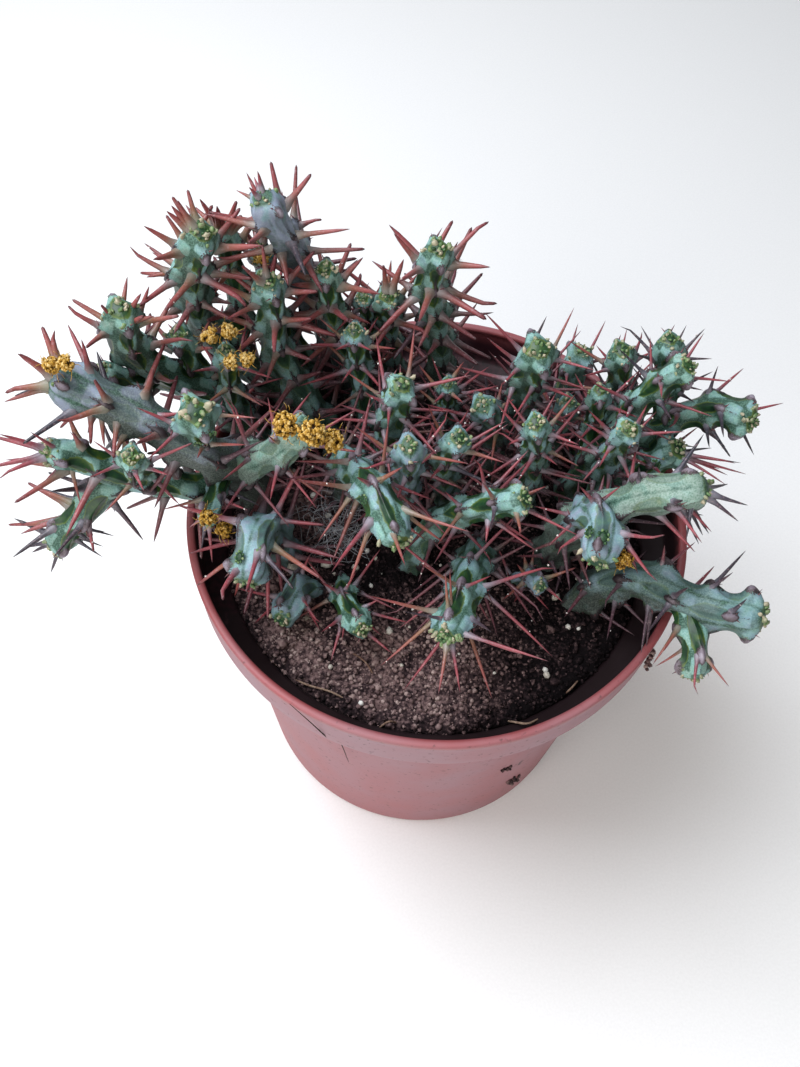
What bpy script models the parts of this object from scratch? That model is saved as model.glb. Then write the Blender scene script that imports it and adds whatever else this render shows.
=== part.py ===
"""Potted euphorbia: a clump of four-ribbed spiny stems in a 105 mm nursery pot.

Frame: metres, origin at the centre of the pot's flat base, +Z up, front towards -Y.
All design values are in millimetres. Stem routes are given from the middle of the
rim's top plane: right, back and up.
"""

import random
from dataclasses import dataclass
from math import cos, pi, radians, sin, tau

import bmesh
import bpy
import numpy as np
from mathutils import Vector

MM = 0.001  # metres in a millimetre
GAP = 0.3  # air between two separate pieces

# Pot
POT_HEIGHT = 89.0
RIM_RADIUS = 52.5
BAND_HEIGHT = 11.3  # outside band under the lip
BODY_TOP_RADIUS = 46.6
BASE_RADIUS = 40.3
WALL = 1.2
FLOOR = 1.8
LIP_ROUND = 0.5
STEP_SLOPE = 1.6  # height of the shoulder under the band
POT_STEPS = 34
DRAIN_HOLES = 8
DRAIN_RADIUS = 3.0
DRAIN_RING = 29.0

# Soil
SOIL_DEPTH = 12.0  # soil surface below the rim's top
SOIL_MOUND = 1.6
SOIL_RIPPLE = 0.5
SOIL_RINGS = (0.45, 0.8, 1.0)
SOIL_STEPS = 26
WELL_AIR = 0.4  # room round a stem in its hole

# Stems
NODE_STEP = 5.4  # distance between one pair of spine shields and the next, crossed pair
WELL_SIDES = 6
RIB_BULGE = 1.10  # ribs at a shield, in half girths
RIB_PLAIN = 0.92  # ribs between shields
FURROW = 0.76
TIP_SHARE = 0.62  # last ring, in half girths
TIP_DOME = 0.25  # apex above the last ring, in half girths
FIRST_SHIELD = 1.6  # from the last ring down to the first pair of shields

# Spines
SPINE_BASE = 0.75  # radius of the three-sided foot
SPINE_SUNK = 0.45  # share of the stem's radius that the foot is sunk
SPLAY = 32.0  # degrees to each side of the rib
LIFT = 18.0  # degrees towards the tip
SWINGS = (0.0, 14.0, -14.0, 28.0, -28.0, 44.0, -44.0)  # turns tried past a neighbour
SPINE_AIR = 0.55
SPINED_PAIRS = 6  # pairs of shields with needles, from the tip down
SPINE_SAMPLES = 10

# Bloom heads
CUPS = 6
CUP_RADIUS = 1.15
CUP_SIDES = 4


@dataclass(frozen=True)
class Shoot:
    """One stem or branch: its girth at root and tip, ribs' turn, spines and route."""

    node: str
    girth: tuple
    turn: float
    spine: float
    route: tuple


@dataclass(frozen=True)
class Bloom:
    """One cluster of yellow flower cups: heads are (right, back, up, radius)."""

    node: str
    heads: tuple


SHOOTS = (
    Shoot("stem_left_long", (10.0, 9.0), 55, 10,
          ((-37, 4, -22), (-38, 3, -6), (-40, 0, 10), (-46, -6, 24), (-58, -4, 32), (-71, -2, 38))),
    Shoot("stem_left_long", (9.0, 7.6), 10, 11,
          ((-40, 0, 10), (-38, -3, 17), (-32, -5, 24), (-26, -6, 33))),
    Shoot("stem_left_long", (8.5, 9.5), 30, 10,
          ((-46, -6, 24), (-46, -5, 31), (-45.3, -7.5, 38))),
    Shoot("stem_left_long", (7.5, 7.0), 20, 12,
          ((-40, 1, 6), (-47, -4, 9), (-57, -8, 16), (-66, -10, 24), (-72, -12, 30))),
    Shoot("stem_left_long", (7.5, 7.5), 15, 9,
          ((-57, -8, 16), (-64, -10, 17), (-69, -14, 13), (-75, -18, 6))),
    Shoot("stem_left_long", (6.0, 6.0), 0, 9,
          ((-57, -8, 16), (-57, -12, 26), (-56, -15, 34))),
    Shoot("stem_left_long", (5.5, 5.0), 0, 8,
          ((-40, 1, 6), (-43, -2, 11), (-44, -8, 14), (-45, -15, 14))),
    Shoot("stem_left_front", (8.5, 8.5), 40, 13,
          ((-31, -7, -22), (-32, -8, -8), (-34, -11, 5), (-35, -18, 14), (-36, -26, 12))),
    Shoot("stem_low_stub", (7.0, 7.0), 0, 8,
          ((-26, -15, -22), (-26.3, -15.3, -12), (-28, -18.5, -5.6), (-30, -26, -3.6))),
    Shoot("stem_low_rosette", (6.0, 6.0), 20, 10,
          ((-18, -13, -22), (-18.4, -13.8, -12), (-18, -20.5, -4.8), (-14, -29, 0))),
    Shoot("stem_front_star", (8.5, 8.0), 0, 17,
          ((9, -2, -22), (9, -4, -12), (8, -12, 1), (5, -27, 12), (2, -37, 16))),
    Shoot("stem_centre_nodding", (8.0, 7.5), 25, 13,
          ((-18, 9, -22), (-19, 8, -8), (-20, 5, 8), (-17, -6, 21), (-12, -17, 29), (-8, -25, 28))),
    Shoot("stem_centre_scarred", (7.0, 6.6), 10, 11,
          ((-7, 2, -22), (-7, 1, -6), (-7, -2, 10), (-7, -5, 22), (-7, -9, 34))),
    Shoot("stem_centre_small", (6.0, 6.0), 0, 11,
          ((2, 9, -22), (2, 7, -6), (1, 3, 8), (0, -1, 20), (2, -5, 32))),
    Shoot("stem_centre_upright", (7.0, 6.6), 45, 11,
          ((-8, 12, -22), (-9, 12, -6), (-11, 9, 8), (-11, 5, 22), (-9, 0, 40))),
    Shoot("stem_centre_slim", (5.0, 4.5), 0, 10,
          ((2, 24, -22), (2, 23, -8), (1, 20, 6), (0, 14, 24))),
    Shoot("stem_middle_leaning", (6.5, 6.5), 30, 10,
          ((11, 20, -22), (12, 19, -6), (11, 15, 10), (7, 10, 23))),
    Shoot("stem_rear_thick", (8.5, 8.2), 20, 10,
          ((16, 29, -22), (16, 28, -6), (17, 24, 8), (16, 18, 21), (16, 12, 38))),
    Shoot("stem_right_short", (6.0, 6.0), 0, 9,
          ((24, 23, -22), (25, 23, -8), (26, 21, 12))),
    Shoot("stem_rear_right_low", (7.0, 7.0), 35, 9,
          ((25, 31, -22), (26, 31, -8), (28, 29.5, 18))),
    Shoot("stem_right_inner", (6.7, 6.7), 15, 9,
          ((32, 24, -22), (33, 24, -8), (37, 24, 7), (36, 24, 17), (34, 22, 28))),
    Shoot("stem_right_forked", (8.5, 7.5), 20, 9,
          ((37, 11, -22), (38, 12, -10), (41, 15, 1), (46, 17, 12), (54, 15, 20), (59.4, 10, 24))),
    Shoot("stem_right_forked", (6.5, 6.5), 0, 9,
          ((46, 17, 12), (44, 20, 22), (42, 20, 34))),
    Shoot("stem_right_forked", (6.5, 8.0), 45, 8,
          ((40, 14, -4), (43.5, 11, 5), (47.4, 9, 14))),
    Shoot("stem_right_rising", (6.8, 6.5), 30, 9,
          ((28, 13, -22), (29, 13, -10), (32, 13, 2), (36, 14, 16), (40, 12, 30), (43.5, 10.5, 38))),
    Shoot("stem_right_rising", (5.0, 5.0), 0, 9,
          ((31, 13, -2), (31, 15, 12), (30, 14, 25))),
    Shoot("stem_right_slim", (6.0, 6.0), 25, 9,
          ((32, 3, -22), (33, 4, -6), (33, 5, 8), (33, 3, 20), (33, -2, 34))),
    Shoot("stem_right_pale", (9.0, 8.5), 59, 9,
          ((25, -3, -22), (25, -4, -8), (27, -8, 10), (31, -12, 23), (37, -14, 31), (45, -14.5, 35))),
    Shoot("stem_right_pale", (8.5, 8.0), 20, 9,
          ((27, -8, 10), (28, -13, 22), (29, -19, 27), (28, -25, 26))),
    Shoot("stem_front_creeping", (6.6, 6.6), 20, 12,
          ((-4, -8, -22), (-4, -8, -6), (0, -8, 8), (7, -12, 20), (14, -16, 30))),
    Shoot("stem_front_seedling", (4.6, 4.4), 0, 7,
          ((17, -9, -22), (18, -10, -11), (20, -13, -4), (21, -18, 2))),
    Shoot("stem_middle_right", (6.0, 6.0), 10, 10,
          ((19, 9, -22), (19, 8, -6), (19, 6, 6), (18, 3, 18), (16, -2, 34))),
    Shoot("stem_right_over_rim", (9.5, 9.0), 14, 9,
          ((32, -13, -22), (33, -13, -10), (36, -15, 0), (41, -18, 7), (50, -25, 11), (60, -28, 14))),
    Shoot("stem_right_over_rim", (6.5, 6.5), 0, 8,
          ((46, -22, 9), (49, -30, 9), (50, -36, 4))),
    Shoot("stem_rear_tallest", (8.0, 6.8), 52, 10,
          ((-18, 35, -22), (-20, 36, -8), (-25.5, 38.5, 8), (-31, 37.5, 24), (-31.5, 31, 41),
           (-33, 24, 53), (-35, 22, 61))),
    Shoot("stem_rear_left_tall", (8.5, 8.0), 15, 10,
          ((-30, 25, -22), (-31, 25, -8), (-35, 26, 3), (-45.5, 26, 14), (-50.5, 24.5, 28),
           (-49.5, 20.5, 44), (-45.5, 17, 57))),
    Shoot("stem_rear_left_tall", (5.6, 6.0), 0, 9,
          ((-45, 26, 13), (-43, 27, 24), (-43.2, 28, 36), (-44.2, 27, 49))),
    Shoot("stem_rear_slender", (4.8, 4.5), 0, 8,
          ((-25, 32, -22), (-27, 33, -6), (-32, 33, 10), (-37.4, 33, 26), (-38.2, 31, 41.5))),
    Shoot("stem_rear_budding", (7.8, 7.2), 30, 9,
          ((-21, 19, -22), (-23, 20, -8), (-29, 21, 6), (-35, 22, 22), (-35, 20, 36), (-35, 18, 45))),
    Shoot("stem_rear_arched", (6.0, 6.0), 0, 10,
          ((-13, 28, -22), (-15, 28, -8), (-20, 30, 8), (-24, 29, 26), (-25, 26, 41))),
    Shoot("stem_rear_twin", (6.4, 6.0), 20, 9,
          ((-9, 36, -22), (-10, 36, -8), (-12, 36, 4), (-13, 33, 20), (-13, 27, 34))),
    Shoot("stem_rear_twin", (5.0, 4.5), 0, 8,
          ((-12, 36, 3), (-16, 36, 14), (-18, 29, 31))),
    Shoot("stem_rear_middle", (7.2, 7.0), 15, 11,
          ((1, 35, -22), (0, 35, -8), (-1, 34, 6), (-3, 31, 24), (-5, 27, 38), (-4, 24, 50))),
    Shoot("stem_left_rear_forked", (8.2, 8.0), 20, 9,
          ((-36, 15, -22), (-37, 15, -10), (-41, 16, 1), (-48, 16, 12), (-57, 13, 23),
           (-61, 10, 35), (-60, 8, 46))),
    Shoot("stem_left_rear_forked", (6.6, 6.2), 0, 9,
          ((-48, 16, 12), (-51, 17.5, 20), (-53, 16, 31.5))),
    Shoot("stem_left_rear_forked", (6.2, 5.2), 9, 9,
          ((-42, 17, 4), (-43.6, 14, 16), (-43, 12, 32))),
    Shoot("stem_left_rear_forked", (5.5, 5.5), 15, 8,
          ((-56.2, 13.5, 22), (-61.4, 8, 25), (-65.5, 6.5, 31))),
    Shoot("stem_rear_inner", (6.0, 5.7), 0, 10,
          ((-12, 20, -22), (-15, 20, -6), (-17, 21, 8), (-18, 22, 18), (-19, 19, 32))),
)

BLOOMS = (
    Bloom("bloom_left_tip", ((-70.6, -3, 43.2, 1.7), (-68.1, -2.8, 43.6, 1.7))),
    Bloom("bloom_centre", ((-29, -8, 37, 2.7), (-24.2, -9.6, 37.2, 2.8))),
    Bloom("bloom_centre_side", ((-20.8, -8.2, 33.2, 2.4),)),
    Bloom("bloom_left_low", ((-44, -16.5, 17.5, 1.9),)),
    Bloom("bloom_left_low_side", ((-41.5, -15.5, 12, 1.8),)),
    Bloom("bloom_rear_left", ((-45.6, 11.6, 36.6, 1.8), (-42.2, 12.8, 37, 1.7))),
    Bloom("bloom_rear_left_side", ((-41.4, 8.6, 33.2, 1.6), (-38.6, 9.4, 33.2, 1.6))),
    Bloom("bloom_right", ((33, -23.5, 24, 1.9),)),
    Bloom("bloom_rear_slender", ((-37.6, 28.2, 41, 1.5),)),
)


# ---------------------------------------------------------------- objects and finishes

def linear(hex_colour):
    """An sRGB hex colour as linear red, green and blue."""
    parts = [int(hex_colour[i:i + 2], 16) / 255 for i in (0, 2, 4)]
    return [p / 12.92 if p <= 0.04045 else ((p + 0.055) / 1.055) ** 2.4 for p in parts]


def finish(name, hex_colour, roughness):
    """A plain Principled material, or the one already made under this name."""
    known = bpy.data.materials.get(name)
    if known:
        return known
    made = bpy.data.materials.new(name)
    made.use_nodes = True
    shader = made.node_tree.nodes["Principled BSDF"]
    shader.inputs["Base Color"].default_value = (*linear(hex_colour), 1.0)
    shader.inputs["Roughness"].default_value = roughness
    shader.inputs["Metallic"].default_value = 0.0
    return made


def add_object(name, mesh, collection):
    """Put a mesh in the scene as an object of its own."""
    made = bpy.data.objects.new(name, mesh)
    collection.objects.link(made)
    return made


def mesh_from(name, points, faces, edges=()):
    """A mesh from points in millimetres above the pot's base."""
    mesh = bpy.data.meshes.new(name)
    mesh.from_pydata([tuple(p) for p in np.asarray(points, float) * MM], edges, faces)
    mesh.update()
    return mesh


def as_cutter(cutter):
    """Mark an object as a guide that only cuts."""
    cutter.hide_render = True
    cutter.display_type = "WIRE"
    return cutter


def settle(thing):
    """Replace an object's mesh by what its modifiers make of it."""
    bpy.context.view_layer.update()
    graph = bpy.context.evaluated_depsgraph_get()
    mesh = bpy.data.meshes.new_from_object(thing.evaluated_get(graph))
    thing.modifiers.clear()
    thing.data = mesh
    return thing


def fuse(core, extras, solver="EXACT"):
    """Join small closed shapes to a core with one Boolean union on a collection."""
    bunch = bpy.data.collections.new(core.name + "_bunch")
    bpy.context.scene.collection.children.link(bunch)
    for i, mesh in enumerate(extras):
        add_object(f"{core.name}_extra_{i}", mesh, bunch)
    join = core.modifiers.new("fuse", "BOOLEAN")
    join.operation = "UNION"
    join.operand_type = "COLLECTION"
    join.collection = bunch
    join.solver = solver
    settle(core)
    for extra in list(bunch.objects):
        bpy.data.objects.remove(extra)
    bpy.data.collections.remove(bunch)
    return core


# ---------------------------------------------------------------- pot and soil

def inner_radius(height):
    """Inside radius of the pot's body at a height above the base."""
    share = height / (POT_HEIGHT - BAND_HEIGHT)
    return BASE_RADIUS + (BODY_TOP_RADIUS - BASE_RADIUS) * share - WALL


def band_bottom():
    """Height of the band's lower edge."""
    return POT_HEIGHT - BAND_HEIGHT


def pot_profile():
    """Inside floor, up the inner wall, over the lip and down the outer side to the base."""
    band_in = RIM_RADIUS - WALL
    shoulder = band_bottom() - STEP_SLOPE
    return [
        (0, FLOOR),
        (inner_radius(FLOOR) - 0.8, FLOOR),
        (inner_radius(FLOOR + 1.0), FLOOR + 1.0),
        (inner_radius(shoulder), shoulder + WALL),
        (band_in - 0.9, band_bottom() + WALL),
        (band_in - 0.2, POT_HEIGHT - LIP_ROUND),
        (band_in + 0.2, POT_HEIGHT),
        (RIM_RADIUS - LIP_ROUND, POT_HEIGHT),
        (RIM_RADIUS, POT_HEIGHT - LIP_ROUND),
        (RIM_RADIUS - 0.6, band_bottom()),
        (BODY_TOP_RADIUS, shoulder),
        (BASE_RADIUS, 1.2),
        (BASE_RADIUS - 0.9, 0),
        (0, 0),
    ]


def turned(name, profile, collection, steps):
    """An object turned about Z from a profile of (radius, height) points."""
    points = [(r, 0.0, z) for r, z in profile]
    edges = [(i, i + 1) for i in range(len(points) - 1)]
    made = add_object(name, mesh_from(name, points, (), edges), collection)
    screw = made.modifiers.new("turn", "SCREW")
    screw.axis = "Z"
    screw.steps = steps
    screw.render_steps = steps
    screw.use_merge_vertices = True
    screw.merge_threshold = 0.00001
    screw.use_smooth_shade = True
    return made


def drain_hole(index, cutters):
    """A short upright cylinder through the pot's floor."""
    angle = tau * (index + 0.5) / DRAIN_HOLES
    bpy.ops.mesh.primitive_cylinder_add(
        vertices=8, radius=DRAIN_RADIUS * MM, depth=4 * FLOOR * MM,
        location=(DRAIN_RING * cos(angle) * MM, DRAIN_RING * sin(angle) * MM, 0))
    hole = bpy.context.object
    hole.name = f"cut_drain_{index}"
    for home in list(hole.users_collection):
        home.objects.unlink(hole)
    cutters.objects.link(hole)
    return as_cutter(hole)


def build_pot(parts, cutters):
    """The nursery pot, with a banded rim and drain holes in its floor."""
    pot = turned("pot", pot_profile(), parts, POT_STEPS)
    drains = bpy.data.collections.new("drain_cutters")
    cutters.children.link(drains)
    for index in range(DRAIN_HOLES):
        drain_hole(index, drains)
    cut = pot.modifiers.new("drain", "BOOLEAN")
    cut.operation = "DIFFERENCE"
    cut.operand_type = "COLLECTION"
    cut.collection = drains
    cut.solver = "EXACT"
    settle(pot)
    pot.data.shade_smooth()
    pot.data.set_sharp_from_angle(angle=radians(35))
    pot.data.materials.append(finish("terracotta_plastic", "A57D84", 0.45))
    return pot


def soil_top(x, y):
    """Height of the soil: a low mound with ripples, from a formula."""
    reach = np.hypot(x, y) / BODY_TOP_RADIUS
    ripple = np.sin(x * 0.21 + 1.3) * np.cos(y * 0.17 - 0.6) + 0.5 * np.sin(x * 0.43 - y * 0.37)
    return POT_HEIGHT - SOIL_DEPTH + SOIL_MOUND * (1 - reach ** 2) + SOIL_RIPPLE * ripple


def build_soil(parts, wells):
    """The block of soil that fills the pot, with a plain hole for each stem."""
    level = POT_HEIGHT - SOIL_DEPTH
    wall = inner_radius(level) - GAP - 0.1
    foot = inner_radius(FLOOR + 1.0) - GAP - 0.1
    profile = [(0, level)]
    profile += [(wall * share, level) for share in SOIL_RINGS]
    profile += [(foot, FLOOR + 1.0 + GAP), (foot - 0.8, FLOOR + GAP), (0, FLOOR + GAP)]
    soil = settle(turned("soil", profile, parts, SOIL_STEPS))
    for point in soil.data.vertices:
        if point.co.z > (level - 1) * MM:
            point.co.z = soil_top(point.co.x / MM, point.co.y / MM) * MM
    cut = soil.modifiers.new("wells", "BOOLEAN")
    cut.operation = "DIFFERENCE"
    cut.operand_type = "COLLECTION"
    cut.collection = wells
    cut.solver = "EXACT"
    settle(soil)
    soil.data.materials.append(finish("potting_soil", "6B5A50", 0.95))
    return soil


# ---------------------------------------------------------------- stems

def smooth_route(points, per_span=24):
    """Points along a Catmull-Rom curve through the route, raised to the base's frame."""
    route = np.array(points, float) + (0, 0, POT_HEIGHT)
    ends = np.vstack([2 * route[0] - route[1], route, 2 * route[-1] - route[-2]])
    t = np.linspace(0, 1, per_span, endpoint=False)[:, None]
    spans = [
        0.5 * (2 * b + (c - a) * t + (2 * a - 5 * b + 4 * c - d) * t ** 2
               + (3 * b - a - 3 * c + d) * t ** 3)
        for a, b, c, d in zip(ends, ends[1:], ends[2:], ends[3:])
    ]
    return np.vstack(spans + [route[-1:]])


class Axis:
    """A stem's centre line with a frame that follows it without twisting."""

    def __init__(self, points):
        self.points = smooth_route(points)
        steps = np.linalg.norm(np.diff(self.points, axis=0), axis=1)
        self.along = np.concatenate([[0.0], np.cumsum(steps)])
        self.length = self.along[-1]
        self.front = self.carried_front()

    def at(self, distance):
        """The point at a distance from the root."""
        return np.array([np.interp(distance, self.along, self.points[:, k]) for k in range(3)])

    def heading(self, distance):
        """The direction of growth at a distance from the root."""
        step = self.at(min(distance + 0.8, self.length)) - self.at(max(distance - 0.8, 0))
        return step / np.linalg.norm(step)

    def carried_front(self):
        """The forward direction, carried along the curve and kept square to it."""
        headings = np.gradient(self.points, axis=0)
        headings /= np.linalg.norm(headings, axis=1)[:, None]
        front = np.array([0.0, -1.0, 0.0])
        carried = []
        for heading in headings:
            front = front - heading * front.dot(heading)
            front /= np.linalg.norm(front)
            carried.append(front)
        return np.array(carried)

    def frame(self, distance):
        """Growth, front and side directions at a distance from the root."""
        heading = self.heading(distance)
        front = np.array([np.interp(distance, self.along, self.front[:, k]) for k in range(3)])
        front -= heading * front.dot(heading)
        front /= np.linalg.norm(front)
        return heading, front, np.cross(heading, front)


def half_girth(shoot, axis, distance):
    """Half of the stem's thickness at a distance from the root."""
    root, tip = shoot.girth
    return 0.5 * (root + (tip - root) * distance / axis.length)


def ring(shoot, axis, distance, radii):
    """Points round the stem, one for each radius."""
    _, front, side = axis.frame(distance)
    angles = radians(shoot.turn) + tau * np.arange(len(radii)) / len(radii)
    spokes = np.cos(angles)[:, None] * front + np.sin(angles)[:, None] * side
    return axis.at(distance) + spokes * np.array(radii)[:, None]


def shield_distances(axis):
    """Distances of the shield pairs from the root, counted down from the tip."""
    count = int((axis.length - 2.0) / NODE_STEP)
    return [axis.length - FIRST_SHIELD - NODE_STEP * k for k in range(count)]


def section(radius, pair, grown=0.0):
    """Radii of a ring whose shields stand on one crossed pair of ribs."""
    ribs = (RIB_BULGE, RIB_PLAIN) if pair == 0 else (RIB_PLAIN, RIB_BULGE)
    shares = (ribs[0], FURROW, ribs[1], FURROW) * 2
    return [radius * share + grown for share in shares]


def tube_mesh(name, rings, apex):
    """A closed tube through rings of points, with a flat root and a pointed apex."""
    sides = len(rings[0])
    points = np.vstack(rings + [apex[None]])
    faces = [tuple(range(sides))[::-1]]
    for row in range(len(rings) - 1):
        for k in range(sides):
            a = row * sides + k
            b = row * sides + (k + 1) % sides
            faces.append((a, b, b + sides, a + sides))
    last = (len(rings) - 1) * sides
    faces += [(last + k, last + (k + 1) % sides, len(points) - 1) for k in range(sides)]
    return mesh_from(name, points, faces)


def stem_mesh(name, shoot, axis, grown=0.0):
    """The ribbed body: rings at each pair of shields, crossing from pair to pair."""
    rings = [ring(shoot, axis, 0.0, section(half_girth(shoot, axis, 0), 0, grown))]
    for k, distance in reversed(list(enumerate(shield_distances(axis)))):
        if axis.at(distance)[2] > POT_HEIGHT - SOIL_DEPTH:
            radii = section(half_girth(shoot, axis, distance), k % 2, grown)
            rings.append(ring(shoot, axis, distance, radii))
    tip = half_girth(shoot, axis, axis.length)
    rings.append(ring(shoot, axis, axis.length, section(tip * TIP_SHARE, 1, grown)))
    apex = axis.at(axis.length) + axis.heading(axis.length) * (tip * TIP_DOME + grown)
    return tube_mesh(name, rings, apex)


def well_mesh(name, shoot, axis):
    """The plain round hole that a stem stands in, from under its root to above the soil."""
    reach = 0.0
    while axis.at(reach)[2] < POT_HEIGHT - SOIL_DEPTH + 3.5:
        reach += 0.5
    wide = (0.5 * shoot.girth[0] * RIB_BULGE + WELL_AIR) / cos(pi / WELL_SIDES)
    rings = [ring(shoot, axis, stop, [wide] * WELL_SIDES) for stop in (0.0, reach)]
    rings[0] = rings[0] - axis.heading(0) * GAP
    apex = axis.at(reach) + axis.heading(reach)
    return tube_mesh(name, rings, apex)


class Crowd:
    """What is already placed, as spheres with a node's name each, so needles miss it."""

    def __init__(self):
        self.centres = np.zeros((0, 3))
        self.radii = np.zeros(0)
        self.owners = []

    def add(self, centres, radii, owner):
        """Add the spheres of one piece."""
        self.centres = np.vstack([self.centres, centres])
        self.radii = np.concatenate([self.radii, radii])
        self.owners += [owner] * len(centres)

    def is_free(self, centres, radii, owner):
        """Whether a needle keeps clear of the other nodes, the pot and the soil."""
        others = np.array([name != owner for name in self.owners])
        apart = np.linalg.norm(centres[:, None] - self.centres[others][None], axis=2)
        room = apart - self.radii[others][None] - radii[:, None]
        return room.min() > SPINE_AIR and clears_pot(centres, radii)


def clears_pot(centres, radii):
    """Whether points keep clear of the pot's wall and of the soil."""
    reach = np.hypot(centres[:, 0], centres[:, 1])
    height = centres[:, 2]
    inside = np.where(height > band_bottom(), RIM_RADIUS - WALL - 1.0, inner_radius(height))
    outside = np.where(height > band_bottom() - 2.0, RIM_RADIUS, BODY_TOP_RADIUS)
    below_rim = height - radii < POT_HEIGHT + SPINE_AIR
    in_wall = (reach + radii > inside - SPINE_AIR) & (reach - radii < outside + SPINE_AIR)
    in_soil = (reach < outside) & (height - radii < soil_top(centres[:, 0], centres[:, 1]) + SPINE_AIR)
    return not (below_rim & (in_wall | in_soil)).any()


def needle_mesh(name, foot, point):
    """A three-sided needle from its sunk foot to its point."""
    along = Vector(point - foot).normalized()
    across = along.orthogonal()
    over = along.cross(across)
    corners = [
        foot + SPINE_BASE * (cos(tau * k / 3) * np.array(across) + sin(tau * k / 3) * np.array(over))
        for k in range(3)
    ]
    return mesh_from(name, corners + [point], [(2, 1, 0), (0, 1, 3), (1, 2, 3), (2, 0, 3)])


def spine_choices(k):
    """Which shields (0 or 1) and sides (-1 or 1) of the k-th pair carry a needle here."""
    if k == 0:
        return ((0, -1), (0, 1), (1, 1))
    return (((k // 2) % 2, 1 if k % 4 < 2 else -1),)


def aim(frame, angle, swing, side, lift):
    """The direction of a needle on a rib: outward, splayed and lifted to the tip."""
    heading, front, across = frame
    outward = cos(angle) * front + sin(angle) * across
    tangent = -sin(angle) * front + cos(angle) * across
    splay = radians(side * SPLAY + swing)
    flat = cos(splay) * outward + sin(splay) * tangent
    return cos(lift) * flat + sin(lift) * heading, outward


def place_spine(shoot, axis, distance, angle, side, k, crowd, rng):
    """The foot and point of one needle that misses its neighbours, or nothing."""
    frame = axis.frame(distance)
    radius = half_girth(shoot, axis, distance)
    length = shoot.spine * rng.uniform(0.85, 1.1)
    lift = radians(LIFT * (2.2 if k == 0 else 1.0) + rng.uniform(-8, 8))
    for swing in SWINGS:
        direction, outward = aim(frame, angle, swing, side, lift)
        foot = axis.at(distance) + outward * radius * SPINE_SUNK
        point = foot + direction * (length + radius * (RIB_BULGE - SPINE_SUNK))
        share = np.linspace(0.15, 1.0, SPINE_SAMPLES)[:, None]
        line = foot + (point - foot) * share
        thick = SPINE_BASE * (1 - share[:, 0])
        if crowd.is_free(line, thick, shoot.node):
            crowd.add(line, thick, shoot.node)
            return foot, point
    return None


def build_spines(shoot, axis, crowd, rng):
    """Needle meshes on a shoot's ribs, from the tip down to the soil."""
    meshes = []
    for k, distance in enumerate(shield_distances(axis)):
        if k == SPINED_PAIRS or axis.at(distance)[2] < POT_HEIGHT - SOIL_DEPTH + 7.0:
            break
        for shield, side in spine_choices(k):
            angle = radians(shoot.turn) + pi * shield + (pi / 2 if k % 2 else 0.0)
            placed = place_spine(shoot, axis, distance, angle, side, k, crowd, rng)
            if placed:
                meshes.append(needle_mesh(f"{shoot.node}_spine", *placed))
    return meshes


def build_stems(parts, wells, crowd):
    """Every stem with its branches and needles fused to it, and the hole of each root."""
    rng = random.Random(7)
    axes = [Axis(shoot.route) for shoot in SHOOTS]
    for shoot, axis in zip(SHOOTS, axes):
        distances = np.arange(0, axis.length, 1.0)
        centres = np.array([axis.at(d) for d in distances])
        radii = np.array([half_girth(shoot, axis, d) * RIB_BULGE for d in distances])
        crowd.add(centres, radii, shoot.node)
    for node in dict.fromkeys(shoot.node for shoot in SHOOTS):
        own = [(s, a) for s, a in zip(SHOOTS, axes) if s.node == node]
        extras = [stem_mesh(node + "_branch", s, a) for s, a in own[1:]]
        for shoot, axis in own:
            extras += build_spines(shoot, axis, crowd, rng)
        stem = fuse(add_object(node, stem_mesh(node, *own[0]), parts), extras)
        stem.data.shade_smooth()
        stem.data.set_sharp_from_angle(angle=radians(40))
        stem.data.materials.append(finish("stem_skin", "8FB9AD", 0.6))
        as_cutter(add_object("well_" + node, well_mesh("well_" + node, *own[0]), wells))


# ---------------------------------------------------------------- blooms

def ball_mesh(name, centre, radius):
    """A small ball with few faces, the heart of a bloom head."""
    work = bmesh.new()
    bmesh.ops.create_uvsphere(work, u_segments=6, v_segments=4, radius=radius * MM)
    bmesh.ops.translate(work, verts=work.verts, vec=Vector(centre) * MM)
    mesh = bpy.data.meshes.new(name)
    work.to_mesh(mesh)
    work.free()
    return mesh


def cup_mesh(name, centre, direction, radius):
    """A flower cup: a short cone, wider outwards, that stands out of the ball."""
    work = bmesh.new()
    bmesh.ops.create_cone(
        work, cap_ends=True, segments=CUP_SIDES, radius1=0.5 * CUP_RADIUS * MM,
        radius2=CUP_RADIUS * MM, depth=radius * MM)
    turn = Vector((0, 0, 1)).rotation_difference(Vector(direction)).to_matrix().to_4x4()
    bmesh.ops.transform(work, matrix=turn, verts=work.verts)
    middle = (np.array(centre) + np.array(direction) * radius * 0.75) * MM
    bmesh.ops.translate(work, verts=work.verts, vec=Vector(middle))
    mesh = bpy.data.meshes.new(name)
    work.to_mesh(mesh)
    work.free()
    return mesh


def spread_directions(count):
    """Directions spread evenly over a ball by the golden angle."""
    turn = pi * (3 - 5 ** 0.5)
    for k in range(count):
        z = 1 - (2 * k + 1) / count
        flat = (1 - z * z) ** 0.5
        yield flat * cos(k * turn), flat * sin(k * turn), z


def seat_cutters(bloom, seats):
    """Stems near a bloom, grown by the gap, to cut the seat that it sits in."""
    for i, shoot in enumerate(SHOOTS):
        axis = Axis(shoot.route)
        for x, y, z, radius in bloom.heads:
            apart = np.linalg.norm(axis.points - (x, y, z + POT_HEIGHT), axis=1).min()
            if apart < 0.5 * shoot.girth[0] + 2 * radius:
                name = f"seat_{bloom.node}_{i}"
                as_cutter(add_object(name, stem_mesh(name, shoot, axis, GAP), seats))
                break


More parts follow.
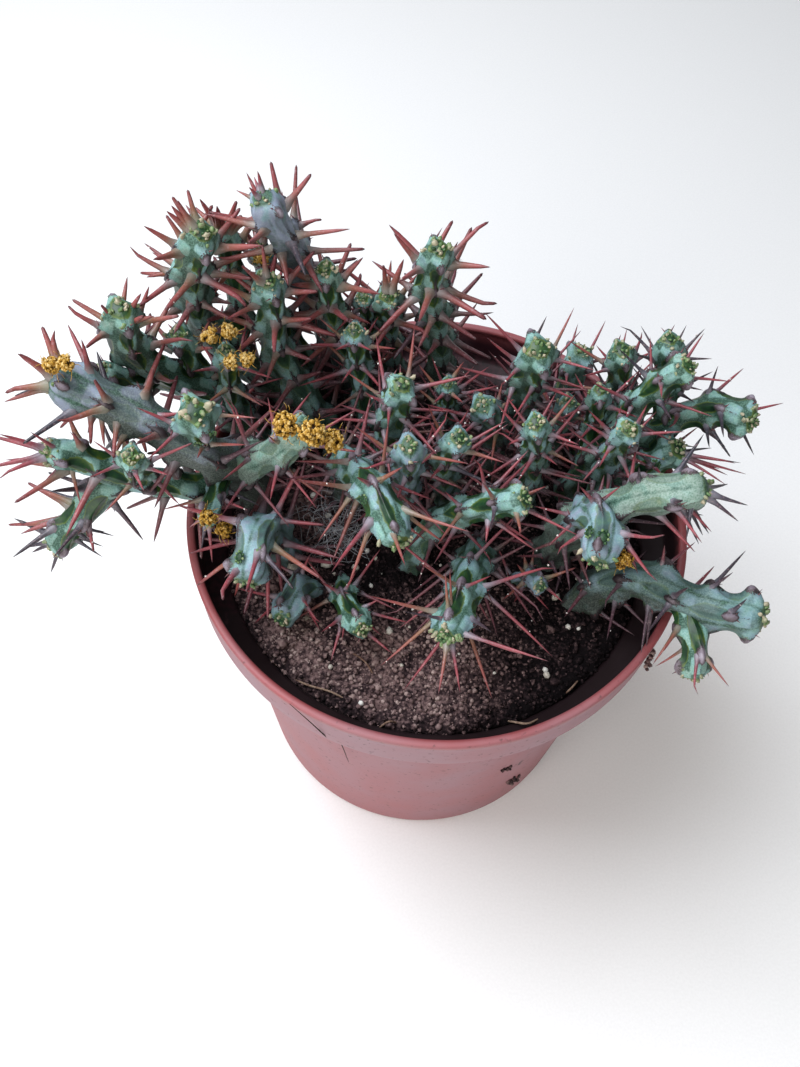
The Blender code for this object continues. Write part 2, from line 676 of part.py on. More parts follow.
def build_bloom(bloom, parts, cutters):
    """One cluster of cups fused to the balls at its heart, cut to sit on its stem."""
    extras = []
    hearts = []
    for x, y, z, radius in bloom.heads:
        centre = (x, y, z + POT_HEIGHT)
        hearts.append(ball_mesh(bloom.node, centre, radius * 0.8))
        for direction in spread_directions(CUPS):
            extras.append(cup_mesh(bloom.node, centre, direction, radius))
    made = fuse(add_object(bloom.node, hearts[0], parts), hearts[1:] + extras)
    seats = bpy.data.collections.new("seats_" + bloom.node)
    cutters.children.link(seats)
    seat_cutters(bloom, seats)
    cut = made.modifiers.new("seat", "BOOLEAN")
    cut.operation = "DIFFERENCE"
    cut.operand_type = "COLLECTION"
    cut.collection = seats
    cut.solver = "EXACT"
    settle(made)
    made.data.materials.append(finish("flower_cups", "C9A030", 0.6))


def crowd_of_blooms(crowd):
    """Tell the crowd where the bloom heads are."""
    for bloom in BLOOMS:
        heads = np.array(bloom.heads, float)
        crowd.add(heads[:, :3] + (0, 0, POT_HEIGHT), heads[:, 3] * 1.4, bloom.node)


def main():
    """Clear the scene, then build pot, stems, soil and blooms."""
    for thing in list(bpy.data.objects):
        bpy.data.objects.remove(thing)
    parts = bpy.data.collections.new("potted_euphorbia")
    cutters = bpy.data.collections.new("cutters")
    wells = bpy.data.collections.new("wells")
    bpy.context.scene.collection.children.link(parts)
    bpy.context.scene.collection.children.link(cutters)
    cutters.children.link(wells)
    crowd = Crowd()
    crowd_of_blooms(crowd)
    build_pot(parts, cutters)
    build_stems(parts, wells, crowd)
    build_soil(parts, wells)
    for bloom in BLOOMS:
        build_bloom(bloom, parts, cutters)


main()
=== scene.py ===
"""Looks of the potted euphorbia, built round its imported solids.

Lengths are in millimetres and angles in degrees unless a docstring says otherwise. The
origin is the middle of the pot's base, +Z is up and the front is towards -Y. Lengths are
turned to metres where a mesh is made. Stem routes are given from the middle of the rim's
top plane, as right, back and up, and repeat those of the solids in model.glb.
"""

import itertools
import logging
import math
from dataclasses import dataclass
from enum import Enum
from functools import partial

import bpy
import numpy as np
from mathutils import Euler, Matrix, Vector


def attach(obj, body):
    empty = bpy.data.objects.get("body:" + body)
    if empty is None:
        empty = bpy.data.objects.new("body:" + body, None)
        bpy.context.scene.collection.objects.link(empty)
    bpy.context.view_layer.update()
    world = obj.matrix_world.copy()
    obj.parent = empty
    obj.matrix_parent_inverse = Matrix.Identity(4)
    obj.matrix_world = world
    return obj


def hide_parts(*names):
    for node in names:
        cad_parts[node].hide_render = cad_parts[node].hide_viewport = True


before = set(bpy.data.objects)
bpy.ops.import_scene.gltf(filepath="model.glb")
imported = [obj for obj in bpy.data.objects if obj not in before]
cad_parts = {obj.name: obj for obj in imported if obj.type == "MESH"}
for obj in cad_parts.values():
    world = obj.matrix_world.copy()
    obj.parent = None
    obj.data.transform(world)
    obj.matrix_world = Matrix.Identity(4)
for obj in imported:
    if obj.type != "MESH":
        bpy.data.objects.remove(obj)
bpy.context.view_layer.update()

LOG = logging.getLogger("euphorbia")
MM = 0.001
BODY = "root"

POT_HEIGHT = 89.0
RIM_RADIUS = 52.5
BAND = 11.3  # the rim's band, from its foot to the top
SHOULDER = POT_HEIGHT - BAND
TOP_RADIUS = 46.6  # the wall's, under the band
BASE_RADIUS = 40.3
WALL = 1.2
SOIL_DEPTH = 12.0
BAND_ZONE = (50.4, 53.2)  # radii that spines keep out of, at the band
WALL_ZONE = (44.0, 47.6)  # and below it
BLOOM_SEED = 77
TAU = 2 * math.pi
GOLDEN_ANGLE = math.pi * (3 - 5 ** 0.5)

Array = np.ndarray
Point = tuple[float, float, float]
Faces = tuple[Array, Array]
Socket = bpy.types.NodeSocket
Stops = tuple[tuple[float, str], ...]
COLOURS = {"output": 2, "data_type": "RGBA"}  # what makes a mix node mix colours


# ---- named options

class SkinHue(Enum):
    """A shoot's skin: tone (blue 0 to mint 1), wear, strength of green marks, wax on its faces."""

    BLUE = (0.22, 0.10, 0.70, 0.80)
    TURQUOISE = (0.44, 0.12, 1.0, 0.50)
    GREEN = (0.58, 0.12, 1.3, 0.16)
    MINT = (0.95, 0.34, 0.45, 0.84)
    SLATE = (0.05, 0.86, 0.25, 0.62)
    SAGE = (0.36, 0.58, 0.50, 0.64)
    LAVENDER = (-0.05, 0.14, 0.30, 0.92)


class SpineTint(Enum):
    """A shoot's spines: the share of amber young ones and the share of slate-dark ones."""

    ROSE = (0.08, 0.06)
    AMBER = (0.50, 0.06)
    MIXED = (0.16, 0.30)
    SLATE = (0.04, 0.80)


# ---- the plant's plan

@dataclass(frozen=True)
class Shoot:
    """One stem or branch: its solid, girth at root and tip, ribs' turn, spine length and route.

    The hue and tint are its colours, stout is its spines' thickness and crown is how many
    young bumps stand on its tip.
    """

    node: str
    girth: tuple[float, float]
    turn: float
    spine: float
    route: tuple[Point, ...]
    hue: SkinHue = SkinHue.TURQUOISE
    tint: SpineTint = SpineTint.ROSE
    stout: float = 0.84
    crown: float = 0.4


SHOOTS = (
    Shoot("stem_left_long", (10.0, 9.0), 55, 10, ((-37, 4, -22), (-38, 3, -6), (-40, 0, 10),
          (-46, -6, 24), (-58, -4, 32), (-71, -2, 38)), SkinHue.SLATE, SpineTint.MIXED, stout=1.1,
          crown=0.3),
    Shoot("stem_left_long", (9.0, 7.6), 10, 11, ((-40, 0, 10), (-38, -3, 17), (-32, -5, 24),
          (-26, -6, 33)), SkinHue.MINT),
    Shoot("stem_left_long", (8.5, 9.5), 30, 10, ((-46, -6, 24), (-46, -5, 31), (-45.3, -7.5, 38))),
    Shoot("stem_left_long", (7.5, 7.0), 20, 12, ((-40, 1, 6), (-47, -4, 9), (-57, -8, 16), (-66, -10, 24),
          (-72, -12, 30)), SkinHue.GREEN, SpineTint.AMBER, stout=1.1, crown=1),
    Shoot("stem_left_long", (7.5, 7.5), 15, 9, ((-57, -8, 16), (-64, -10, 17), (-69, -14, 13),
          (-75, -18, 6)), SkinHue.GREEN, SpineTint.SLATE, stout=1),
    Shoot("stem_left_long", (6.0, 6.0), 0, 9, ((-57, -8, 16), (-57, -12, 26), (-56, -15, 34)),
          SkinHue.GREEN, crown=0.8),
    Shoot("stem_left_long", (5.5, 5.0), 0, 8, ((-40, 1, 6), (-43, -2, 11), (-44, -8, 14), (-45, -15, 14)),
          SkinHue.TURQUOISE, SpineTint.MIXED),
    Shoot("stem_left_front", (8.5, 8.5), 40, 13, ((-31, -7, -22), (-32, -8, -8), (-34, -11, 5),
          (-35, -18, 14), (-36, -26, 12)), SkinHue.BLUE, stout=1, crown=0.3),
    Shoot("stem_low_stub", (7.0, 7.0), 0, 8, ((-26, -15, -22), (-26.3, -15.3, -12), (-28, -18.5, -5.6),
          (-30, -26, -3.6)), SkinHue.BLUE, crown=0.2),
    Shoot("stem_low_rosette", (6.0, 6.0), 20, 10, ((-18, -13, -22), (-18.4, -13.8, -12),
          (-18, -20.5, -4.8), (-14, -29, 0)), SkinHue.GREEN, crown=0.8),
    Shoot("stem_front_star", (8.5, 8.0), 0, 17, ((9, -2, -22), (9, -4, -12), (8, -12, 1), (5, -27, 12),
          (2, -37, 16)), stout=0.8, crown=1.4),
    Shoot("stem_centre_nodding", (8.0, 7.5), 25, 13, ((-18, 9, -22), (-19, 8, -8), (-20, 5, 8),
          (-17, -6, 21), (-12, -17, 29), (-8, -25, 28)), SkinHue.TURQUOISE, SpineTint.AMBER, stout=0.95),
    Shoot("stem_centre_scarred", (7.0, 6.6), 10, 11, ((-7, 2, -22), (-7, 1, -6), (-7, -2, 10),
          (-7, -5, 22), (-7, -9, 34)), SkinHue.BLUE),
    Shoot("stem_centre_small", (6.0, 6.0), 0, 11, ((2, 9, -22), (2, 7, -6), (1, 3, 8), (0, -1, 20),
          (2, -5, 32))),
    Shoot("stem_centre_upright", (7.0, 6.6), 45, 11, ((-8, 12, -22), (-9, 12, -6), (-11, 9, 8),
          (-11, 5, 22), (-9, 0, 40)), SkinHue.GREEN),
    Shoot("stem_centre_slim", (5.0, 4.5), 0, 10, ((2, 24, -22), (2, 23, -8), (1, 20, 6), (0, 14, 24))),
    Shoot("stem_middle_leaning", (6.5, 6.5), 30, 10, ((11, 20, -22), (12, 19, -6), (11, 15, 10),
          (7, 10, 23)), SkinHue.SAGE),
    Shoot("stem_rear_thick", (8.5, 8.2), 20, 10, ((16, 29, -22), (16, 28, -6), (17, 24, 8), (16, 18, 21),
          (16, 12, 38)), SkinHue.GREEN),
    Shoot("stem_right_short", (6.0, 6.0), 0, 9, ((24, 23, -22), (25, 23, -8), (26, 21, 12)),
          SkinHue.SAGE),
    Shoot("stem_rear_right_low", (7.0, 7.0), 35, 9, ((25, 31, -22), (26, 31, -8), (28, 29.5, 18)),
          SkinHue.SAGE),
    Shoot("stem_right_inner", (6.7, 6.7), 15, 9, ((32, 24, -22), (33, 24, -8), (37, 24, 7), (36, 24, 17),
          (34, 22, 28)), SkinHue.GREEN, SpineTint.MIXED),
    Shoot("stem_right_forked", (8.5, 7.5), 20, 9, ((37, 11, -22), (38, 12, -10), (41, 15, 1),
          (46, 17, 12), (54, 15, 20), (59.4, 10, 24)), SkinHue.GREEN, SpineTint.SLATE, stout=0.9,
          crown=0.7),
    Shoot("stem_right_forked", (6.5, 6.5), 0, 9, ((46, 17, 12), (44, 20, 22), (42, 20, 34)),
          SkinHue.GREEN, SpineTint.SLATE),
    Shoot("stem_right_forked", (6.5, 8.0), 45, 8, ((40, 14, -4), (43.5, 11, 5), (47.4, 9, 14)),
          SkinHue.TURQUOISE, SpineTint.MIXED),
    Shoot("stem_right_rising", (6.8, 6.5), 30, 9, ((28, 13, -22), (29, 13, -10), (32, 13, 2),
          (36, 14, 16), (40, 12, 30), (43.5, 10.5, 38)), SkinHue.GREEN, SpineTint.MIXED),
    Shoot("stem_right_rising", (5.0, 5.0), 0, 9, ((31, 13, -2), (31, 15, 12), (30, 14, 25))),
    Shoot("stem_right_slim", (6.0, 6.0), 25, 9, ((32, 3, -22), (33, 4, -6), (33, 5, 8), (33, 3, 20),
          (33, -2, 34)), crown=0.6),
    Shoot("stem_right_pale", (9.0, 8.5), 59, 9, ((25, -3, -22), (25, -4, -8), (27, -8, 10), (31, -12, 23),
          (37, -14, 31), (45, -14.5, 35)), SkinHue.MINT, SpineTint.MIXED, stout=0.95, crown=0.0),
    Shoot("stem_right_pale", (8.5, 8.0), 20, 9, ((27, -8, 10), (28, -13, 22), (29, -19, 27),
          (28, -25, 26)), SkinHue.BLUE, crown=0.15),
    Shoot("stem_front_creeping", (6.6, 6.6), 20, 12, ((-4, -8, -22), (-4, -8, -6), (0, -8, 8),
          (7, -12, 20), (14, -16, 30))),
    Shoot("stem_front_seedling", (4.6, 4.4), 0, 7, ((17, -9, -22), (18, -10, -11), (20, -13, -4),
          (21, -18, 2)), SkinHue.BLUE),
    Shoot("stem_middle_right", (6.0, 6.0), 10, 10, ((19, 9, -22), (19, 8, -6), (19, 6, 6), (18, 3, 18),
          (16, -2, 34))),
    Shoot("stem_right_over_rim", (9.5, 9.0), 14, 9, ((32, -13, -22), (33, -13, -10), (36, -15, 0),
          (41, -18, 7), (50, -25, 11), (60, -28, 14)), SkinHue.SAGE, SpineTint.SLATE, stout=0.95,
          crown=0.3),
    Shoot("stem_right_over_rim", (6.5, 6.5), 0, 8, ((46, -22, 9), (49, -30, 9), (50, -36, 4)),
          SkinHue.GREEN, SpineTint.AMBER),
    Shoot("stem_rear_tallest", (8.0, 6.8), 52, 10, ((-18, 35, -22), (-20, 36, -8), (-25.5, 38.5, 8),
          (-31, 37.5, 24), (-31.5, 31, 41), (-33, 24, 53), (-35, 22, 61)), SkinHue.LAVENDER, stout=1.15,
          crown=0.0),
    Shoot("stem_rear_left_tall", (8.5, 8.0), 15, 10, ((-30, 25, -22), (-31, 25, -8), (-35, 26, 3),
          (-45.5, 26, 14), (-50.5, 24.5, 28), (-49.5, 20.5, 44), (-45.5, 17, 57)), SkinHue.GREEN,
          SpineTint.AMBER, stout=1.22, crown=0.5),
    Shoot("stem_rear_left_tall", (5.6, 6.0), 0, 9, ((-45, 26, 13), (-43, 27, 24), (-43.2, 28, 36),
          (-44.2, 27, 49)), SkinHue.GREEN, SpineTint.AMBER, stout=1.22, crown=0.5),
    Shoot("stem_rear_slender", (4.8, 4.5), 0, 8, ((-25, 32, -22), (-27, 33, -6), (-32, 33, 10),
          (-37.4, 33, 26), (-38.2, 31, 41.5)), SkinHue.GREEN, stout=1.05, crown=1),
    Shoot("stem_rear_budding", (7.8, 7.2), 30, 9, ((-21, 19, -22), (-23, 20, -8), (-29, 21, 6),
          (-35, 22, 22), (-35, 20, 36), (-35, 18, 45)), stout=1.2, crown=1),
    Shoot("stem_rear_arched", (6.0, 6.0), 0, 10, ((-13, 28, -22), (-15, 28, -8), (-20, 30, 8),
          (-24, 29, 26), (-25, 26, 41)), SkinHue.GREEN, stout=1.2, crown=0.8),
    Shoot("stem_rear_twin", (6.4, 6.0), 20, 9, ((-9, 36, -22), (-10, 36, -8), (-12, 36, 4), (-13, 33, 20),
          (-13, 27, 34)), SkinHue.GREEN, stout=1.15, crown=0.8),
    Shoot("stem_rear_twin", (5.0, 4.5), 0, 8, ((-12, 36, 3), (-16, 36, 14), (-18, 29, 31)), crown=0.7),
    Shoot("stem_rear_middle", (7.2, 7.0), 15, 11, ((1, 35, -22), (0, 35, -8), (-1, 34, 6), (-3, 31, 24),
          (-5, 27, 38), (-4, 24, 50)), SkinHue.GREEN, stout=1.2, crown=0.5),
    Shoot("stem_left_rear_forked", (8.2, 8.0), 20, 9, ((-36, 15, -22), (-37, 15, -10), (-41, 16, 1),
          (-48, 16, 12), (-57, 13, 23), (-61, 10, 35), (-60, 8, 46)), SkinHue.GREEN, SpineTint.AMBER,
          stout=1.15),
    Shoot("stem_left_rear_forked", (6.6, 6.2), 0, 9, ((-48, 16, 12), (-51, 17.5, 20), (-53, 16, 31.5)),
          SkinHue.GREEN, stout=1.1),
    Shoot("stem_left_rear_forked", (6.2, 5.2), 9, 9, ((-42, 17, 4), (-43.6, 14, 16), (-43, 12, 32))),
    Shoot("stem_left_rear_forked", (5.5, 5.5), 15, 8, ((-56.2, 13.5, 22), (-61.4, 8, 25),
          (-65.5, 6.5, 31)), SkinHue.GREEN, stout=1.05),
    Shoot("stem_rear_inner", (6.0, 5.7), 0, 10, ((-12, 20, -22), (-15, 20, -6), (-17, 21, 8),
          (-18, 22, 18), (-19, 19, 32))),
)


@dataclass(frozen=True)
class Eye:
    """A dormant bud: shoot number, distance from the tip, turn from the viewer, size and reach."""

    shoot: int
    down: float
    turn: float
    size: float
    reach: float = 0.96


VIEWED_FROM = (-8.0, -124.0, 284.0)
EYES = (
    Eye(2, 2.2, 20, 1.25), Eye(2, 6.0, -10, 0.75), Eye(7, 4.5, -25, 1.15), Eye(7, 3.5, 30, 1.0),
    Eye(11, 8.0, 40, 0.9), Eye(28, 3.0, 0, 1.2), Eye(28, 3.6, 42, 0.95), Eye(23, 3.4, 10, 1.1),
    Eye(12, 4.5, 8, 0.42), Eye(12, 6.2, 14, 0.36), Eye(12, 7.8, 9, 0.45), Eye(12, 9.5, 15, 0.38),
)


@dataclass(frozen=True)
class Tuft:
    """Crowded spines on a shoot, beside its shields' own pairs.

    The fields are its shoot's number, how many spines, their length, where they lean, their
    spread, their thickness, the shares of amber and slate ones, and the distance from the tip.
    """

    shoot: int
    count: int
    length: float
    towards: Point
    spread: float
    stout: float
    amber: float = 0.1
    slate: float = 0.0
    down: float = 1.4


TUFTS = (
    Tuft(36, 13, 7.6, (0.05, -0.1, 1.0), 0.55, 1.4, 0.85),
    Tuft(35, 5, 7.5, (-0.5, 0.1, 1.0), 0.40, 1.25, 0.5),
    Tuft(35, 4, 8.5, (-1.0, -0.3, -0.2), 0.50, 1.1, 0.6, 0.0, 15),
    Tuft(3, 5, 10.0, (-1.0, -0.2, 0.1), 0.55, 1.0, 0.25),
    Tuft(3, 4, 10.5, (-1.0, -0.6, -0.9), 0.40, 0.95, 0.5, 0.0, 3.5),
    Tuft(0, 4, 8.5, (-0.3, 0.5, 1.0), 0.35, 1.35, 0.1),
    Tuft(0, 3, 8.0, (-1.0, -0.3, -0.2), 0.30, 1.2, 0.5, 0.2),
    Tuft(0, 8, 7.0, (0.1, -0.5, -1.0), 0.55, 1.1, 0.2, 0.0, 9),
    Tuft(0, 5, 6.0, (0.2, -0.5, -1.0), 0.55, 1.0, 0.2, 0.0, 15),
    Tuft(23, 9, 12.5, (1.0, -0.35, -0.65), 0.25, 0.8, 0.2, 0.1),
    Tuft(27, 4, 8.5, (1.0, 0.0, -0.3), 0.35, 0.9, 0.0, 0.9),
    Tuft(27, 4, 10.0, (0.7, -0.7, -0.9), 0.25, 0.95, 0.0, 0.9, 4),
    Tuft(4, 4, 8.5, (-0.3, 0.1, -1.0), 0.45, 1.0, 0.0, 0.9),
    Tuft(4, 2, 11.0, (-0.9, -0.4, -0.3), 0.10, 1.1, 0.1, 0.0, 12),
    Tuft(4, 2, 11.5, (-0.9, 0.4, 0.2), 0.10, 1.1, 0.9, 0.0, 9),
    Tuft(4, 5, 6.5, (1.0, -0.3, -0.4), 0.35, 0.85, 0.0, 0.9, 6),
    Tuft(6, 4, 8.5, (0.3, -0.2, -1.0), 0.40, 0.85, 0.0, 0.9),
    Tuft(40, 2, 9.0, (-0.3, 0.2, 1.0), 0.20, 1.3, 0.1), Tuft(38, 3, 6.5, (-0.6, 0.3, 0.9), 0.40, 1.1, 0.3),
    Tuft(37, 5, 6.5, (-0.4, 0.2, 1.0), 0.45, 1.1, 0.3), Tuft(34, 6, 4.0, (-0.2, 0.4, 1.0), 0.60, 0.8, 0.3),
    Tuft(43, 4, 8.0, (0.7, 0.1, 0.8), 0.40, 1.2, 0.4, 0.0, 4),
    Tuft(10, 2, 16.0, (1.0, -0.15, -0.05), 0.10, 0.85, 0.2, 0.0, 2),
    Tuft(10, 2, 12.0, (0.3, -0.7, -0.5), 0.22, 0.8, 0.4, 0.0, 2),
    Tuft(10, 2, 10.0, (0.1, 0.6, 0.8), 0.35, 0.75, 0.9, 0.0, 3),
)


# ---- colours and nodes

def linear(hex_colour: str) -> tuple[float, float, float, float]:
    """Turn an sRGB hex colour to linear light.

    Args:
        hex_colour: Six hex digits after a hash.

    Returns:
        Linear red, green and blue, and full opacity.
    """
    parts = [int(hex_colour[i:i + 2], 16) / 255 for i in (1, 3, 5)]
    light = [p / 12.92 if p <= 0.04045 else ((p + 0.055) / 1.055) ** 2.4 for p in parts]
    return light[0], light[1], light[2], 1.0


def feed(node: bpy.types.Node, inputs: dict | tuple) -> None:
    """Fill a node's input sockets.

    Args:
        node: The node.
        inputs: What its inputs get, by name or number or in their order: a number, a hex
            colour or another node's output.
    """
    for key, value in inputs.items() if isinstance(inputs, dict) else enumerate(inputs):
        if isinstance(value, Socket):
            node.id_data.links.new(value, node.inputs[key])
        else:
            node.inputs[key].default_value = linear(value) if isinstance(value, str) else value


def add_node(tree: bpy.types.NodeTree, kind: str, inputs: dict | tuple = (), stops: Stops = (),
             output: str | int = 0, **settings: object) -> Socket:
    """Add one shader node with its settings and links.

    Args:
        tree: The node tree that gets the node.
        kind: The node's type name, after "ShaderNode".
        inputs: What its inputs get, as feed takes them.
        stops: A colour ramp's (position, hex colour) stops.
        output: The output that is read, by name or number.
        settings: The node's own properties.

    Returns:
        That output.
    """
    node = tree.nodes.new("ShaderNode" + kind)
    for key, value in settings.items():
        setattr(node, key, value)
    feed(node, inputs)
    for index, (position, colour) in enumerate(stops):
        ramp = node.color_ramp.elements
        stop = ramp[index] if index < 2 else ramp.new(position)
        stop.position = position
        stop.color = linear(colour)
    return node.outputs[output]


def start_material(name: str) -> tuple[bpy.types.Material, partial, bpy.types.Node, Socket]:
    """Start a material.

    Args:
        name: Its name.

    Returns:
        The material, add_node for its own tree, its shader, and the piece's own coordinates.
    """
    made = bpy.data.materials.new(name)
    made.use_nodes = True
    add = partial(add_node, made.node_tree)
    return made, add, made.node_tree.nodes["Principled BSDF"], add("TexCoord", output="Object")


# ---- finishes

@dataclass(frozen=True)
class WaxedSkin:
    """Succulent epidermis under a bloom of pale wax: matt, blue-green, rubbed and scarred with age, with
    painted shade as cork colour where it faces down.
    """

    name: str = "euphorbia_epidermis_with_wax_bloom"
    mottle: float = 2.6  # patches of thicker and thinner wax
    grain: float = 0.30  # wax flecks, drawn coarse enough to show

    def material(self) -> bpy.types.Material:
        """Mix wax tones, green marks and horn plates by the surface's own values.

        Returns:
            The skin's material.
        """
        made, add, shader, place = start_material(self.name)
        tone, wear, marks, mark_edge, horn_edge, film = (
            add("Attribute", output="Fac", attribute_name=key)
            for key in ("tone", "wear", "marks", "mark_edge", "horn_edge", "film"))
        patches, flecks = (add("TexNoise", {"Vector": place, "Scale": 1 / (size * MM), "Detail": detail})
                           for size, detail in ((self.mottle, 4.0), (self.grain, 3.0)))
        # wax: tone shifted by the patches, with pale flecks, and green pores on mint skins
        shift = add("MapRange", (patches, 0.3, 0.7, -0.28, 0.28))
        tone = add("Math", (tone, shift), operation="ADD", use_clamp=True)
        wax = add("ValToRGB", (tone,), (
            (0.0, "#8C97AC"), (1.0, "#879F92"), (0.25, "#82A4AE"), (0.6, "#7FACA1")))
        pale = add("MapRange", (flecks, 0.52, 0.68, 0.0, 0.36))
        wax = add("Mix", {0: pale, 6: wax, 7: "#AFC1BC"}, **COLOURS)
        dark = add("MapRange", (flecks, 0.50, 0.36, 0.0, 0.55))
        pores = add("Math", (dark, tone), operation="MULTIPLY")
        wax = add("Mix", {0: pores, 6: wax, 7: "#47705F"}, **COLOURS)
        # bare: dark green where the wax is thin, in broken patches
        thick = add("Math", (patches, 1.5, film), operation="MULTIPLY_ADD")
        thick = add("MapRange", (thick, 0.92, 1.42))
        bare = add("ValToRGB", (flecks,), ((0.3, "#1E3B30"), (0.72, "#6A8C7C"), (0.5, "#3D6152")))
        skin = add("Mix", {0: thick, 6: bare, 7: wax}, **COLOURS)
        # wear: grey-green cork where the wax is gone, and painted shade on skin that faces down
        rubbed_and_shaded = add("Math", (patches, 0.5), operation="SUBTRACT")
        rubbed_and_shaded = add("Math", (rubbed_and_shaded, 1.6, wear), operation="MULTIPLY_ADD", use_clamp=True)
        cork = add("ValToRGB", (flecks,), ((0.35, "#2A312F"), (0.70, "#6A746E"), (0.5, "#48524D")))
        skin = add("Mix", {0: rubbed_and_shaded, 6: skin, 7: cork}, **COLOURS)
        # green marks: crisp tongues under the shields, from their signed edge
        ragged = add("Math", (patches, 2.2, mark_edge), operation="MULTIPLY_ADD")
        within = add("MapRange", (ragged, 0.98, 1.22))
        marked = add("Math", (within, marks), operation="MULTIPLY", use_clamp=True)
        leaf = add("ValToRGB", (patches,), (
            (0.34, "#10291C"), (0.74, "#5F6A1E"), (0.52, "#1E4026"), (0.62, "#2E4F24")))
        light = add("MapRange", (ragged, 1.05, 1.60, 0.70, 0.0))
        leaf = add("Mix", {0: light, 6: leaf, 7: "#6C7F38"}, **COLOURS)
        skin = add("Mix", {0: marked, 6: skin, 7: leaf}, **COLOURS)
        # horn plates: mauve-grey with a dark cracked rim, browner with wear and with the painted shade of
        # skin that faces down
        chipped = add("Math", (flecks, 1.5, horn_edge), operation="MULTIPLY_ADD")
        rim = add("MapRange", (chipped, 0.78, 1.35, -0.34, -0.02))
        horn_wear_and_shade = add("Math", (patches, rim), operation="ADD")
        horn_wear_and_shade = add("Math", (wear, -0.45, horn_wear_and_shade), operation="MULTIPLY_ADD")
        horn = add("ValToRGB", (horn_wear_and_shade,), (
            (0.24, "#2A2024"), (0.80, "#A39CA8"), (0.42, "#584B50"), (0.60, "#7C717C")))
        plated = add("MapRange", (chipped, 0.66, 0.84))
        skin = add("Mix", {0: plated, 6: skin, 7: horn}, **COLOURS)
        rough = add("MapRange", (marked, 0.0, 1.0, 0.62, 0.40))
        bump = add("Bump", {"Height": flecks, "Strength": 0.35, "Distance": 0.08 * MM})
        feed(shader, {"Base Color": skin, "Roughness": rough, "Normal": bump})
        return made


@dataclass(frozen=True)
class SpineHorn:
    """Lignified spine: a grey foot, a rose, amber or slate shaft, and a dark dull point."""

    name: str = "lignified_spine_horn"
    grain: float = 0.5  # streaks and dust along the shaft
    rose: Stops = ((0.0, "#918A93"), (1.0, "#3C2026"), (0.12, "#7F656E"), (0.28, "#87444D"),
                   (0.6, "#96444C"), (0.9, "#6C2E36"))
    amber: Stops = ((0.0, "#878470"), (1.0, "#4C2628"), (0.12, "#84725A"), (0.32, "#8C5C46"),
                    (0.65, "#91504A"), (0.9, "#763838"))
    slate: Stops = ((0.0, "#77757F"), (1.0, "#1E1F26"), (0.14, "#4A4752"), (0.4, "#33343F"))
    # dark colours of old spines, which also paint the shade inside the thicket
    aged_and_shaded: Stops = ((0.0, "#5E5257"), (1.0, "#2A1A1E"), (0.25, "#5A3A42"), (0.7, "#54303A"))

    def material(self) -> bpy.types.Material:
        """Colour each spine along its length, by its own tint.

        Returns:
            The spines' material.
        """
        made, add, shader, place = start_material(self.name)
        along = add("Attribute", output="Fac", attribute_name="along")
        grain = add("TexNoise", {"Vector": place, "Scale": 1 / (self.grain * MM), "Detail": 2.0})
        shaft = add("ValToRGB", (along,), self.rose)
        # the age value darkens spines far from the tip: real ageing, and painted shade inside the thicket
        for key, stops in (("amber", self.amber), ("slate", self.slate), ("age", self.aged_and_shaded)):
            share = add("Attribute", output="Fac", attribute_name=key)
            tinted = add("ValToRGB", (along,), stops)
            shaft = add("Mix", {0: share, 6: shaft, 7: tinted}, **COLOURS)
        dust = add("MapRange", (grain, 0.55, 0.72, 0.0, 0.42))
        shaft = add("Mix", {0: dust, 6: shaft, 7: "#A98C90"}, **COLOURS)
        bump = add("Bump", {"Height": grain, "Strength": 0.3, "Distance": 0.08 * MM})
        feed(shader, {"Base Color": shaft, "Roughness": 0.42, "Normal": bump})
        return made


@dataclass(frozen=True)
class TonedTissue:
    """A matt natural surface whose colour runs between a few tones, by a tone value."""

    name: str
    stops: Stops
    roughness: float
    grain: float  # width of the surface's lumps
    relief: float  # their height
    specular: float = 0.3

    def material(self) -> bpy.types.Material:
        """Run the tone through the ramp, with a little grain on top.

        Returns:
            The material.
        """
        made, add, shader, place = start_material(self.name)
        grain = add("TexNoise", {"Vector": place, "Scale": 1 / (self.grain * MM), "Detail": 4.0})
        lumps = add("Math", (grain, 0.5), operation="SUBTRACT")
        tone = add("Attribute", output="Fac", attribute_name="tone")
        tone = add("Math", (lumps, 0.9, tone), operation="MULTIPLY_ADD", use_clamp=True)
        colour = add("ValToRGB", (tone,), self.stops)
        bump = add("Bump", {"Height": grain, "Strength": 0.6, "Distance": self.relief * MM})
        feed(shader, {"Base Color": colour, "Roughness": self.roughness,
                      "Specular IOR Level": self.specular, "Normal": bump})
        return made


